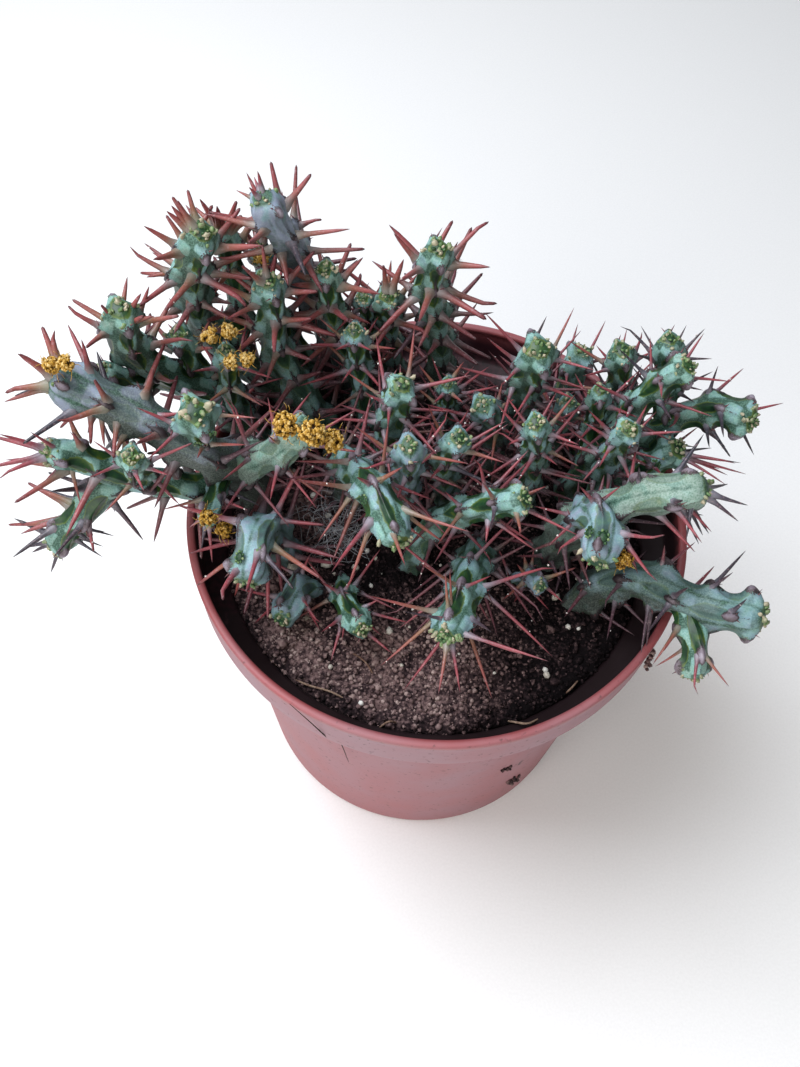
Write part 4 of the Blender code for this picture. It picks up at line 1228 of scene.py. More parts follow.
    def tufts(self, surface: Surface) -> None:
        """Add the crowded spines of a tip: random directions round the way that they lean.

        Args:
            surface: Gets them.
        """
        for tuft in (t for t in TUFTS if t.shoot == self.index):
            stop = np.array([self.line.length - tuft.down])
            heading = self.line.frames(stop)[0]
            lean = unit(heading[0] * (0.5 if tuft.down < 3 else 0) + unit(np.array(tuft.towards)))
            way = unit(lean + self.rng.normal(size=(tuft.count, 3)) * tuft.spread)
            foot = self.line.at(stop) + way * 0.55 * self.line.half_girth(stop)[0]
            foot += heading * self.rng.uniform(-1, 1, (tuft.count, 1)) * min(0.4 * tuft.down, 3.0)
            length = tuft.length * self.rng.uniform(0.7, 1.1, tuft.count)
            self.add_spines(surface, foot, way, length, 0.0, (tuft.amber, tuft.slate), tuft.stout)

    def add_spines(self, surface: Surface, foot: Array, way: Array, length: Array,
                   buried: Array | float, tints: tuple[Array | float, float], stout: float) -> None:
        """Add tapered, slightly bowed tubes: foot + way l t + bend t^2, some hooked by t^9.

        Args:
            surface: Gets them.
            foot: Their feet, sunk in the stem.
            way: Unit directions.
            length: Their lengths.
            buried: Their shields' distances from the tip.
            tints: The shares of amber and of slate ones.
            stout: Their thickness, 1 for about a millimetre.
        """
        count, rng, t, thin = len(foot), self.rng, np.array(self.spine_rings), stout < 1
        across = unit(np.cross(way, unit(rng.normal(size=(count, 3)))))
        over = np.cross(way, across)
        hook = np.where(rng.random(count) < 0.10, 0.16, 0.0)
        bend = across * (rng.uniform(-0.07, 0.07, count) * length)[:, None]
        along = length[:, None] * t
        centres = (foot[:, None] + way[:, None] * along[:, :, None] + bend[:, None] * t[:, None] ** 2
                   + over[:, None] * (hook * length)[:, None, None] * t[:, None] ** 9)
        thick = rng.uniform(0.46, 0.60, count) * np.clip(0.72 + 0.028 * length, 0.7, 1.12)
        thick *= stout * (0.88 if thin else 1.0)
        sharp = np.where(rng.random(count) < (0.95 if thin else 0.5), 0.9, 0.25)[:, None]
        shaft = (1 - (0.58 if thin else 0.42) * t ** 1.3) * (1 - sharp * ease(0.66, 1.08, t))
        radii = thick[:, None] * (shaft + 0.95 * np.exp(-(along / 1.6) ** 2))
        tip = centres[:, -1] + (centres[:, -1] - centres[:, -2]) * 0.28
        share = np.clip((along - 1.2) / np.maximum(length[:, None] - 1.2, 1), 0, 1)
        amber = (rng.random(count) < tints[0]) * rng.uniform(0.6, 1.0, count)
        amber = np.maximum(amber, rng.uniform(0.2, 0.7, count) * (stout > 1))
        slate = (rng.random(count) < tints[1]) * rng.uniform(0.88, 1.0, count)
        # older spines, far from the tip, are darkened: real ageing, and painted shade inside the thicket
        surface.add_tubes(centres, across[:, None], over[:, None], radii, self.spine_sides, (foot, tip),
                          along=over_rings(share, self.spine_sides, 0.0, 1.0), amber=amber, slate=slate,
                          age=0.85 * ease(10, 28, buried) * rng.uniform(0.7, 1.0, count))

    def add_beads(self, beads: Surface, foot: Array, way: Array, length: Array) -> None:
        """Add little lime beads on about a third of the spines.

        Args:
            beads: Gets them.
            foot: The spines' feet.
            way: Their unit directions.
            length: Their lengths.
        """
        picked = np.flatnonzero(self.rng.random(len(foot)) < self.beaded)
        share = self.rng.uniform(0.3, 0.98, len(picked))
        centre = foot[picked] + way[picked] * (length[picked] * share)[:, None]
        centre += self.rng.normal(size=centre.shape) * 0.16
        corners, quads, tris = rock()
        size = self.rng.uniform(0.10, 0.26, len(picked))
        beads.add(centre[:, None] + corners * size[:, None, None], quads, tris,
                  tone=self.rng.random(len(picked)))

    def prickles(self, surface: Surface, shields: Shields) -> None:
        """Add the two small side prickles of each shield.

        Args:
            surface: Gets them.
            shields: The shields that show.
        """
        shields, side = shields.paired()
        count, sides = len(side), 4
        splay = side * np.radians(self.rng.uniform(35, 80, count))
        way = unit(shields.aim(splay, np.radians(self.rng.uniform(25, 65, count))))
        foot = shields.spot - shields.outward * (0.12 * shields.half)[:, None] + shields.heading * 0.5
        reach = way * self.rng.uniform(1.0, 3.0, (count, 1))
        across = unit(np.cross(way, shields.heading + 0.01))
        centres = np.stack([foot, foot + 0.5 * reach], 1)
        surface.add_tubes(centres, across[:, None], np.cross(way, across)[:, None],
                          np.array([[0.26, 0.15]]), sides, (foot, foot + reach),
                          along=over_rings(np.array([[0.15, 0.5]]), sides, 0.0, 1.0),
                          amber=np.where(self.rng.random(count) < 0.5, 0.9, 0.1), slate=0.3, age=0.5)

    def buds(self, surface: Surface, shields: Shields) -> None:
        """Add a buff leaf stump over most shields.

        Args:
            surface: Gets them, in its second finish.
            shields: The shields that show.
        """
        most = np.where(shields.number < 7, 0.85, 0.4)
        own = shields.those(self.rng.random(len(most)) < most)
        count = len(own.number)
        centre = own.spot + own.heading * 0.95 - own.outward * 0.22 * own.half[:, None]
        self.add_balls(surface, centre, own.outward, own.heading, self.rng.uniform(0.30, 0.66, count),
                       (1.25, 0.9, 0.8), self.rng.uniform(0.68, 1.0, count), 0.30)

    def rosette(self, surface: Surface) -> None:
        """Add young leaf bumps on the dome and crumpled buff nubs at the ribs' ends.

        Bump k of n stands at the golden angle times k, at 0.5 sqrt(k / n) of the tip's
        radius; a nub stands within some 15 degrees of a rib. Both sit on the dome, whose
        height above its foot is 0.85 (1 - r^2.2)^(1 / 2.4) of the radius at reach r.

        Args:
            surface: Gets them, in its second finish.
        """
        rng, shoot = self.rng, self.line.shoot
        bumps, nubs = int(3 + 7 * shoot.crown), int(7 + 20 * shoot.crown)
        total = bumps + nubs
        end = np.array([self.line.length])
        heading, front, side = (a[0] for a in self.line.frames(end))
        tip = self.line.half_girth(end)
        k = np.arange(total)
        is_nub = k >= bumps
        off = np.where(is_nub, rng.normal(0, 0.26, total), k * GOLDEN_ANGLE)
        share = np.where(is_nub, rng.uniform(0.20, 0.96, total), 0.5 * np.sqrt((k + 0.4) / bumps))
        turn = math.radians(shoot.turn) + np.where(is_nub, 0.5 * math.pi * (k % 4), 0) + off
        high = tip * (0.85 * (1 - share ** 2.2) ** (1 / 2.4) - 0.55)
        size = tip * np.where(is_nub, rng.uniform(0.06, 0.17, total), rng.uniform(0.08, 0.13, total))
        outward = turned(front, side, turn)
        centre = (self.line.at(end) + outward * (tip * share * self.squared(off))[:, None]
                  + heading * high[:, None])
        axis = unit(outward * 0.6 + heading * 0.8 + rng.normal(size=(total, 3)) * 0.3)
        tone = np.where(is_nub, rng.uniform(0.48, 1.0, total), rng.uniform(0.15, 0.6, total))
        self.add_balls(surface, centre, axis, np.cross(axis, outward + 0.01), size,
                       (1.35, 0.9, 0.7), tone, 0.30)

    def eyes(self, surface: Surface) -> None:
        """Add the shoot's dormant buds: a dark green oval ringed by small bumps.

        Args:
            surface: Gets them, in its second finish.
        """
        for eye in (e for e in EYES if e.shoot == self.index):
            stop = np.array([self.line.length - eye.down])
            heading, front, side = (a[0] for a in self.line.frames(stop))
            towards = np.array(VIEWED_FROM) - self.line.at(stop)[0]
            base = math.atan2(towards @ side, towards @ front) + math.radians(eye.turn)
            outward = turned(front, side, base)
            middle = self.line.at(stop) + outward * self.line.half_girth(stop)[0] * eye.reach
            ring = turned(heading * 1.35, np.cross(heading, outward), circle(9)) * 0.8
            bumps = np.vstack([ring, ring[:3] * 0.45]) * eye.size
            tones = np.concatenate([self.rng.uniform(0.05, 0.6, 9), [0.4, 0.7, 0.25]])
            self.add_balls(surface, middle, outward, heading, np.array([0.95 * eye.size]),
                           (0.35, 1.0, 0.8), np.array([0.02]))
            self.add_balls(surface, middle + bumps, outward, heading,
                           np.repeat([0.30, 0.24], [9, 3]) * eye.size, (0.8, 1.0, 0.9), tones)

    def add_balls(self, surface: Surface, centre: Array, axis: Array, second: Array, size: Array,
                  stretch: Point, tone: Array, crumple: float = 0.12) -> None:
        """Add stretched balls.

        Args:
            surface: Gets them, in its second finish.
            centre: Their middles.
            axis: The direction, one for all or one each, that they are stretched along first.
            second: A direction to square off the second one from.
            size: Their radii.
            stretch: Shares of the radius along the axis and the two others.
            tone: Their tones.
            crumple: How far each corner may move in or out, as a share of the radius.
        """
        corners, quads, tris = ball(8, 4)
        first = unit(axis)
        third = unit(np.cross(first, second))
        push = 1 + crumple * self.rng.uniform(-1, 1, (len(centre), len(corners), 1))
        local = corners * push * np.array(stretch)[[1, 2, 0]]
        turn = np.stack([np.cross(third, first), third, first], -2)
        surface.add(centre[:, None] + size[:, None, None] * (local @ turn), quads, tris, finish=1,
                    tone=tone)


@dataclass
class Stems:
    """The clump: every stem node with its branches, dressed from one thicket."""

    finishes: Finishes
    seed: int = 20

    def build(self) -> None:
        """Build a skin piece and a spine piece for each stem node, and the beads of all."""
        lines = [GrowthLine(shoot) for shoot in SHOOTS]
        thicket, beads = Thicket(lines), Surface()
        for node in dict.fromkeys(shoot.node for shoot in SHOOTS):
            body, needles = Surface(), Surface()
            own = [index for index, shoot in enumerate(SHOOTS) if shoot.node == node]
            for index in own:
                rng = np.random.default_rng([self.seed, index])
                StemSkin(lines[index], index, index > own[0], rng).dress(body, needles, beads, thicket)
            body.piece(node + "_skin", [self.finishes.skin, self.finishes.young], "stem", (node,))
            needles.piece(node + "_spines", [self.finishes.spine], "stem")
        beads.piece("lime_beads", [self.finishes.bead], "stem")


# ---- blooms

@dataclass(frozen=True)
class BloomPlace:
    """A bloom node's heads: right, back, up from the rim, radius; how golden; and where they face."""

    node: str
    heads: tuple[tuple[float, float, float, float], ...]
    gold: float = 0.75
    facing: Point = (0.05, -0.55, 0.83)


BLOOMS = (
    BloomPlace("bloom_left_tip", ((-70.6, -3, 43.2, 1.7), (-68.1, -2.8, 43.6, 1.7)), 0.72),
    BloomPlace("bloom_centre", ((-29, -8, 37, 2.7), (-24.2, -9.6, 37.2, 2.8)), 0.70),
    BloomPlace("bloom_centre_side", ((-20.8, -8.2, 33.2, 2.4),), 0.68),
    BloomPlace("bloom_left_low", ((-44, -16.5, 17.5, 1.9),), 0.62),
    BloomPlace("bloom_left_low_side", ((-41.5, -15.5, 12, 1.8),), 0.55),
    BloomPlace("bloom_rear_left", ((-45.6, 11.6, 36.6, 1.8), (-42.2, 12.8, 37, 1.7)), 0.80),
    BloomPlace("bloom_rear_left_side", ((-41.4, 8.6, 33.2, 1.6), (-38.6, 9.4, 33.2, 1.6)), 0.80),
    BloomPlace("bloom_right", ((33, -23.5, 24, 1.9),), 0.5),
    BloomPlace("bloom_rear_slender", ((-37.6, 28.2, 41, 1.5),), 0.7),
)


@dataclass
class BloomHead:
    """One bloom node: heads of little golden cups with crinkled rims, dark between, with whiskers."""

    place: BloomPlace
    rng: np.random.Generator
    petals: int = 6  # crinkled lobes round each cup
    spread: float = 0.42  # a cup's half angle, in radians
    lobe: tuple[float, float] = (0.30, 0.50)
    whisker: float = 0.075

    def build(self, finishes: Finishes) -> None:
        """Build the piece.

        Args:
            finishes: Gives the flower's material.
        """
        surface = Surface()
        corners, quads, tris = ball(12, 7)
        facing = unit(np.array(self.place.facing))
        across = unit(np.cross(facing, (0.0, 0.0, 1.0)))
        over = np.cross(facing, across)
        for x, y, z, radius in self.place.heads:
            heart = np.array([x, y, z + POT_HEIGHT])
            surface.add(heart + corners * radius * 0.62, quads, tris, tone=0.02)
            count = int(2.6 * radius) + 2
            k = np.arange(count)
            polar = np.radians(12 + 104 * (k + 0.3) / count + self.rng.uniform(-8, 8, count))
            turn = k * GOLDEN_ANGLE + self.rng.uniform(0, TAU)
            cup = turned(facing, turned(across, over, turn), polar)
            first = unit(np.cross(cup, (0.31, 0.17, 0.93)))
            spin = circle(self.petals) + self.rng.uniform(0, TAU, (count, 1))
            rim = turned(first[:, None], np.cross(cup, first)[:, None], spin)
            wide = self.spread * self.rng.uniform(0.75, 1.15, (count, 1, 1))
            axis = unit(cup[:, None] + wide * rim).reshape(-1, 3)
            self.add_lobes(surface, heart, axis, radius)
            self.add_whiskers(surface, heart, axis[::3], radius)
        surface.piece(self.place.node + "_cups", [finishes.flower], "flower", (self.place.node,))

    def add_lobes(self, surface: Surface, heart: Array, axis: Array, radius: float) -> None:
        """Add the crinkled lobes of one head.

        A lobe is a ball whose radius is multiplied by 1 + 0.24 sin(u.p + a) + 0.20 sin(v.p + b),
        where p is the place on the unit ball and u, v, a and b are random for each lobe.

        Args:
            surface: Gets them.
            heart: The head's middle.
            axis: Unit directions of the lobes.
            radius: The head's radius.
        """
        corners, quads, tris = ball(11, 7)
        count = len(axis)
        size = self.rng.uniform(*self.lobe, count) * (0.72 + 0.12 * radius)
        slow = self.rng.normal(size=(2, count, 3)) * np.array([3.2, 5.0])[:, None, None]
        wave = np.sin(slow @ corners.T + self.rng.uniform(0, TAU, (2, count, 1)))
        bump = 1 + 0.24 * wave[0] + 0.20 * wave[1]
        middle = heart + axis * (radius * self.rng.uniform(0.62, 0.86, count))[:, None]
        gold = self.place.gold - 0.05 + self.rng.uniform(-0.18, 0.14, (count, 1))
        # painted shade: tone darkens in each lobe's dents and lightens on its bulges; it is also darker on
        # the side towards the head's middle
        tone = np.clip(gold + 0.75 * (bump - 1) + 0.34 * (axis @ corners.T - 0.35), 0.02, 1)
        surface.add(middle[:, None] + corners * (bump * size[:, None])[..., None], quads, tris,
                    tone=tone)

    def add_whiskers(self, surface: Surface, heart: Array, axis: Array, radius: float) -> None:
        """Add thin whiskers that curl out between the lobes: start + d l t + c l t^2.

        Args:
            surface: Gets them.
            heart: The head's middle.
            axis: Unit directions they stand in.
            radius: The head's radius.
        """
        count, sides = len(axis), 3
        t = np.linspace(0, 1, 5)[None, :, None]
        length = self.rng.uniform(0.7, 1.5, (count, 1, 1))
        lean = unit(axis + self.rng.normal(size=(count, 3)) * 0.4)[:, None]
        curl = unit(np.cross(axis, self.rng.normal(size=(count, 3))))[:, None]
        path = heart + axis[:, None] * radius + lean * length * t + curl * length * 0.7 * t ** 2
        surface.add_threads(path, self.whisker * (1.2 - 0.7 * t[..., 0]), sides, (0.3, 0.1, 1.0),
                            tone=over_rings(0.3 + 0.7 * t[..., 0], sides, 0.3, 1.0))


# ---- pot

@dataclass(frozen=True)
class Smear:
    """A splash of dried soil on the outside: angle, height, half width, half height, darkness."""

    angle: float
    height: float
    wide: float
    tall: float
    dark: float = 1.0


@dataclass
class Pot:
    """The thermoformed pot: a banded rim, a tapering wall, a floor with drain holes."""

    finishes: Finishes
    columns: int = 240
    floor: float = 1.8
    drains: int = 8
    drain_radius: float = 3.0
    drain_ring: float = 29.0
    smears: tuple[Smear, ...] = (
        Smear(-57, 39, 2.2, 3.4), Smear(-62, 41, 1.4, 1.2, 0.7), Smear(-55, 31, 1.2, 5.0, 0.5),
        Smear(-75.3, 39, 1.6, 0.6, 0.8), Smear(-74, 83.5, 0.7, 0.9, 0.8),
        Smear(-131, 26, 1.3, 0.9, 0.9), Smear(-124, 40, 1.0, 0.8, 0.9),
        Smear(-61.8, 80.6, 1.0, 1.4, 0.6), Smear(-96, 30, 1.0, 0.5, 0.5),
    )

    def profile(self) -> Array:
        """The wall's section as (radius, height) from the floor's middle inside to the base's middle.

        Straight runs are cut into steps of about 2 mm, so that dust and mud have points to sit on.

        Returns:
            Points down the section.
        """
        top, rim, shoulder, base = POT_HEIGHT, RIM_RADIUS, SHOULDER, BASE_RADIUS
        inner, lip = base - WALL, rim - WALL
        slope = (TOP_RADIUS - base) / shoulder
        inside = [
            (2.0, self.floor), (inner - 2.2, self.floor), (inner - 0.9, self.floor + 0.3),
            (inner + 0.1, self.floor + 1.5), (inner + slope * (shoulder - 3), shoulder - 1.6),
            (inner + slope * shoulder + 0.6, shoulder - 0.4)]
        lips = [
            (lip - 1.6, shoulder + 1.0), (lip - 0.8, shoulder + 1.9), (lip - 0.35, top - 2.6),
            (lip - 0.25, top - 1.3), (lip - 0.55, top - 0.75), (lip - 0.40, top - 0.25),
            (lip - 0.05, top), (rim - 0.45, top), (rim - 0.08, top - 0.22), (rim, top - 0.6),
            (rim - 0.05, top - 1.5), (rim - 0.35, top - 1.8), (rim - 0.55, shoulder + 1.0),
            (rim - 0.75, shoulder + 0.25), (rim - 1.25, shoulder - 0.1)]
        outside = [
            (TOP_RADIUS + 1.2, shoulder - 0.9), (TOP_RADIUS + 0.35, shoulder - 1.3),
            (TOP_RADIUS - 0.05, shoulder - 2.1), (base + 0.25, 3.2), (base, 1.3),
            (base - 0.35, 0.45), (base - 1.0, 0.0), (base - 4.0, 0.0), (base - 5.0, 0.35),
            (base - 15.5, 0.35), (12.0, 0.35), (2.0, 0.35)]
        corners = np.array(inside + lips + outside)
        gaps = np.linalg.norm(np.diff(corners, axis=0), axis=1)
        runs = [np.linspace(a, b, max(int(gap / 2.0), 1), endpoint=False)
                for a, b, gap in zip(corners, corners[1:], gaps)]
        return np.vstack(runs + [corners[-1:]])

    def build(self) -> None:
        """Turn the section, cut the drain holes and lay dust, mud and painted shade on."""
        section, angle = self.profile()[::-1], circle(self.columns)
        radius, height = section[:, :1], section[:, 1:]
        wobble = 0.10 * np.sin(3 * angle + 0.7) + 0.06 * np.sin(7 * angle + height / 21)
        radius = radius + wobble * np.clip(height / POT_HEIGHT, 0, 1) * (radius > 35)
        rings = np.stack([radius * np.cos(angle), radius * np.sin(angle), height + 0 * angle], -1)
        surface = Surface()
        surface.add(np.vstack([rings.reshape(-1, 3), [[0, 0, 0.35], [0, 0, self.floor]]]),
                    *tube_faces(len(section), self.columns))
        piece = surface.piece("pot_shell", [self.finishes.plastic], "pot", ("pot",))
        self.cut_drains(piece)
        self.lay_dirt_and_shade(piece.data)

    def cut_drains(self, piece: bpy.types.Object) -> None:
        """Cut the drain holes through the floor, as in the solid.

        Args:
            piece: The turned pot.
        """
        turn = circle(self.drains) + 0.5 * TAU / self.drains
        spots = np.stack([np.cos(turn), np.sin(turn), 0 * turn], -1) * self.drain_ring
        ends = spots[:, None] + np.array([[0, 0, -3.0], [0, 0, 5.0]])
        cutter = Surface()
        cutter.add_tubes(ends, np.array([[[1.0, 0, 0]]]), np.array([[[0, 1.0, 0]]]),
                         np.array([[self.drain_radius]]), 24, (ends[:, 0], ends[:, 1]))
        tool = cutter.object("drain_cutter", [])
        cut = piece.modifiers.new("drains", "BOOLEAN")
        cut.operation = "DIFFERENCE"
        cut.object = tool
        cut.solver = "EXACT"
        graph = bpy.context.evaluated_depsgraph_get()
        piece.data = bpy.data.meshes.new_from_object(piece.evaluated_get(graph))
        piece.modifiers.clear()
        bpy.data.objects.remove(tool)
        piece.data.set_sharp_from_angle(angle=math.radians(50))

    def lay_dirt_and_shade(self, mesh: bpy.types.Mesh) -> None:
        """Give every point its dust, mud and inside values, from its place on the wall. Besides real dust
        and splashes, they paint shade on the band's sides and down the inner wall.

        Args:
            mesh: The pot's mesh.
        """
        spots = np.zeros(len(mesh.vertices) * 3, np.float32)
        mesh.vertices.foreach_get("co", spots)
        x, y, z = spots.reshape(-1, 3).T / MM
        reach, angle = np.hypot(x, y), np.degrees(np.arctan2(y, x))
        on_band = z > SHOULDER - 0.6
        skin = np.where(z > SHOULDER - 0.5, RIM_RADIUS, outside_wall(z))
        within = ease(0.7, 1.1, skin - reach) * (z > self.floor - 0.2)
        lip = (z > POT_HEIGHT - 1.7) * (1 - within * 0.3)
        dust = np.where(on_band, 0.86, 0.40 + 0.30 * ease(0, 70, z))
        dust = np.where(lip > 0.5, 0.34, dust) * (1 - within) + 0.05 * within
        # painted shade: the band's left and right sides, which face away from the light, lose dust and
        # take a share of the inside value, so they read darker
        shaded = ease(0.55, 1.0, np.abs(x) / RIM_RADIUS) * on_band
        dust -= 0.45 * shaded * (1 - within)
        mud = np.full(len(z), -1.0)
        for smear in self.smears:
            away = np.radians((angle - smear.angle + 180) % 360 - 180) * reach
            near = np.hypot(away / smear.wide, (z - smear.height) / smear.tall)
            mud = np.maximum(mud, smear.dark * (1.0 - near) * (1 - within) - 0.25)
        # painted shade: the inner wall is darkened through the mud value, most at the front and right and
        # at the soil line
        inner_painted_shade = 0.35 + 0.50 * ease(10, -20, y - 0.5 * x) * ease(POT_HEIGHT - 0.5, POT_HEIGHT - 4, z)
        mud = np.maximum(mud, within * (inner_painted_shade - 0.035 * np.abs(z - (POT_HEIGHT - SOIL_DEPTH - 1))))
        # painted shade: the inner wall darkens from the lip downwards, towards the soil
        inner_depth_shade = within * (0.30 + 0.70 * ease(POT_HEIGHT - 0.8, POT_HEIGHT - 4.5, z))
        for key, value in (("dust", dust), ("mud", mud), ("inside", np.maximum(inner_depth_shade, 0.26 * shaded))):
            layer = mesh.attributes.new(key, "FLOAT", "POINT")
            layer.data.foreach_set("value", value.astype(np.float32))


# ---- soil and litter

def outside_wall(height: Array) -> Array:
    """The outside radius of the pot's wall below the band, at heights."""
    return BASE_RADIUS + (TOP_RADIUS - BASE_RADIUS) * height / SHOULDER


def inside_wall(height: float) -> float:
    """The inside radius of the pot's wall below the band, at a height."""
    return BASE_RADIUS - WALL + (TOP_RADIUS - BASE_RADIUS) * height / SHOULDER


def push_out(spots: Array, radius: Array) -> Array:
    """The places, moved level and straight out or in to a radius from the pot's middle."""
    share = radius / np.hypot(spots[:, 0], spots[:, 1])
    return spots * np.stack([share, share, np.ones(len(spots))], -1)


@dataclass
class SoilBed:
    """The potting soil: a bed in fine relief, crumbs, perlite, stones, roots and a cobweb."""

    finishes: Finishes
    rings: int = 130
    columns: int = 300
    crumbs: int = 9000
    crumb_reach: float = 45.2
    small_crumb: float = 0.36  # crumbs below this radius have fewer faces
    grain_count: int = 70
    grain_reach: float = 43.0
    rim_clods: int = 26
    threads: int = 95
    web_heart: Point = (-21.0, -4.5, 85.5)
    web_spread: Point = (4.2, 4.0, 4.0)
    seed: int = 41
    wall_clods: tuple[tuple[float, ...], ...] = (  # angle, height, count, spread and size
        (-54.6, 21.0, 16, 1.3, 0.75), (-62.3, 39.5, 10, 1.2, 0.42))
    stones: tuple[tuple[float, ...], ...] = (  # place, radius and tone, from the base's frame
        (-29.7, -11.4, 80.2, 1.5, 0.5), (-30.3, -17.0, 77.8, 1.3, 0.55),
        (-22.9, -9.7, 79.5, 1.4, 0.6), (-21.5, -14.0, 77.4, 1.2, 0.45),
        (-25.7, -21.6, 76.2, 1.7, 0.1), (-42.5, -20.3, 75.6, 1.3, 0.3),
        (-27.0, -28.5, 75.8, 0.9, 0.75), (10.5, -30.5, 76.0, 0.8, 0.6))
    caught: tuple[tuple[float, ...], ...] = (  # perlite held between two stems
        (44.4, 24.6, 89.5, 0.9, 0.95), (45.6, 22.4, 89.6, 1.1, 0.95), (43.2, 26.6, 89.4, 0.8, 0.95))
    strands: tuple[tuple[tuple[Point, ...], float, float], ...] = (  # route, radius and tone
        (((-33, -31, -13.0), (-26, -36, -12.0), (-19.5, -38, -11.5), (-15, -39.5, -13.0)), 0.22, 0.7),
        (((-9.9, -44.5, -14.6), (-7.5, -44.0, -10.5), (-5.2, -43.0, -13.5)), 0.24, 0.6),
        (((15.7, -40.8, -13.5), (18.1, -42.2, -11.0), (20.3, -42.6, -10.0), (23.3, -40.0, -12.6)),
         0.26, 0.75),
        (((26.5, -36.0, -13.6), (29.2, -34.0, -10.8), (31.5, -30.6, -12.6)), 0.2, 0.6),
        (((0.5, -36.5, -13.4), (4.5, -39.2, -12.2), (8.5, -38.1, -13.2)), 0.2, 0.8),
        (((-18.5, -27.2, -13.2), (-13.1, -31.1, -11.0), (-9.7, -35.9, -13.0)), 0.2, 0.5),
        (((-26.3, -45.9, 0.3), (-22.0, -48.2, -3.2), (-19.8, -48.3, -8.5), (-18.9, -47.4, -13.0),
          (-17.2, -44.9, -21.0), (-15.6, -43.2, -38.0)), 0.13, 0.05))

    def height(self, x: Array, y: Array) -> Array:
        """The bed: the solid's mound, four sizes of lump, and a dip at the wall.

        Args:
            x: Places across.
            y: Places along.

        Returns:
            Heights.
        """
        sizes = ((0.75, 7.0), (0.60, 3.1), (0.42, 1.6), (0.20, 0.8))
        lumps = sum(rise * lattice_noise(x, y, cell, 1 + k) for k, (rise, cell) in enumerate(sizes))
        return soil_height(x, y) + lumps - 1.6 * ease(43.5, 46.0, np.hypot(x, y))

    def paleness_and_shade(self, x: Array, y: Array) -> Array:
        """How pale the top is: most at the front left, with painted shade in the hollow and at the right.

        Args:
            x: Places across.
            y: Places along.

        Returns:
            Paleness less painted shade, from about -1.5 to 1.5.
        """
        front = np.maximum(ease(8, -32, y) * ease(30, 2, np.abs(x + 4)), 0.8 * ease(-8, -34, x))
        hollow = np.exp(-((x + 9) / 14) ** 2 - ((y + 10) / 9) ** 2)
        rear = np.exp(-((x - 14) / 16) ** 2 - ((y - 28) / 14) ** 2)
        left = np.exp(-((x + 27) / 9) ** 2 - ((y + 29) / 9) ** 2)
        # painted shade: the hollow behind the stems and the right side are darkened
        return front + 0.8 * rear + 0.7 * left - 1.3 * hollow - 0.6 * ease(8, 30, x) * ease(20, 0, y)

    def build(self) -> None:
        """Build the bed and all that lies on it."""
        self.bed()
        self.crumb_cover()
        self.grains()
        self.fibres()
        self.clods()
        self.cobweb()

    def bed(self) -> None:
        """Build the bed's closed body: relief on top, a plain wall and floor hidden in the pot."""
        angle, foot = circle(self.columns), 3.0
        reach = (inside_wall(POT_HEIGHT - SOIL_DEPTH - 1.5) - 0.15) * np.linspace(
            0.005, 1, self.rings)[::-1, None]
        x, y = reach * np.cos(angle), reach * np.sin(angle)
        low = np.stack([np.cos(angle), np.sin(angle), 0 * angle], -1) * (inside_wall(foot) - 0.4)
        middle = self.height(np.zeros(1), np.zeros(1))[0]
        points = np.vstack([low + (0, 0, foot), np.stack([x, y, self.height(x, y)], -1).reshape(-1, 3),
                            [[0, 0, foot], [0, 0, middle]]])
        rough = lattice_noise(x, y, 5.0, 8) * 0.10 + lattice_noise(x, y, 0.9, 9) * 0.14
        # painted shade: the soil darkens towards the wall, under the rim
        tone = 0.10 + rough + 0.20 * self.paleness_and_shade(x, y) - 0.16 * ease(40, 46, np.hypot(x, y))
        surface = Surface()
        surface.add(points, *tube_faces(self.rings + 1, self.columns),
                    tone=np.concatenate([np.full(self.columns, 0.1), tone.reshape(-1), [0.1, 0.2]]))
        surface.piece("soil_bed", [self.finishes.soil], "soil", ("soil",))

    def strew(self, rng: np.random.Generator, reach: float, count: int) -> tuple[Array, Array]:
        """Random places, even over a disc.

        Args:
            rng: Random draws.
            reach: The disc's radius.
            count: How many.

        Returns:
            Places across and along.
        """
        away, turn = reach * np.sqrt(rng.random(count)), rng.uniform(0, TAU, count)
        return away * np.cos(turn), away * np.sin(turn)

    def scatter(self, surface: Surface, centre: Array, size: Array, tone: Array,
                rng: np.random.Generator, flat: float = 0.75, rough: float = 0.22,
                coarse: bool = False) -> None:
        """Add lumps: rocks with each corner pushed in or out, squashed and turned at random.

        Args:
            surface: Gets them.
            centre: Their middles.
            size: Their radii.
            tone: Their tones.
            rng: Random draws.
            flat: Height as a share of width.
            rough: How far the corners are pushed.
            coarse: Whether they have eight faces each, not twenty.
        """
        corners, quads, tris = rock(coarse)
        push = 1 + rng.uniform(-rough, rough, (len(centre), len(corners), 1))
        turn = rng.uniform(0, TAU, len(centre))
        c, s = np.cos(turn)[:, None], np.sin(turn)[:, None]
        x, y, z = np.moveaxis(corners * push * (1.0, 0.82, flat), -1, 0)
        local = np.stack([x * c - y * s, x * s + y * c, z], -1)
        surface.add(centre[:, None] + local * size[:, None, None], quads, tris, tone=tone)

    def crumb_cover(self) -> None:
        """Scatter crumbs over the disc, thicker at the front, a few large and many small."""
        rng = np.random.default_rng(self.seed)
        x, y = self.strew(rng, self.crumb_reach, 2 * self.crumbs)
        thick = np.flatnonzero(rng.random(len(x)) < 0.3 + 0.6 * ease(12, -8, y))[:self.crumbs]
        x, y = x[thick], y[thick]
        size = 0.24 + 0.44 * rng.random(len(x)) ** 2.2
        size[rng.random(len(x)) < 0.03] *= 1.8
        z = self.height(x, y) + size * rng.uniform(-0.2, 0.5, len(x))
        tone = 0.20 + 0.28 * self.paleness_and_shade(x, y) + rng.uniform(-0.17, 0.26, len(x))
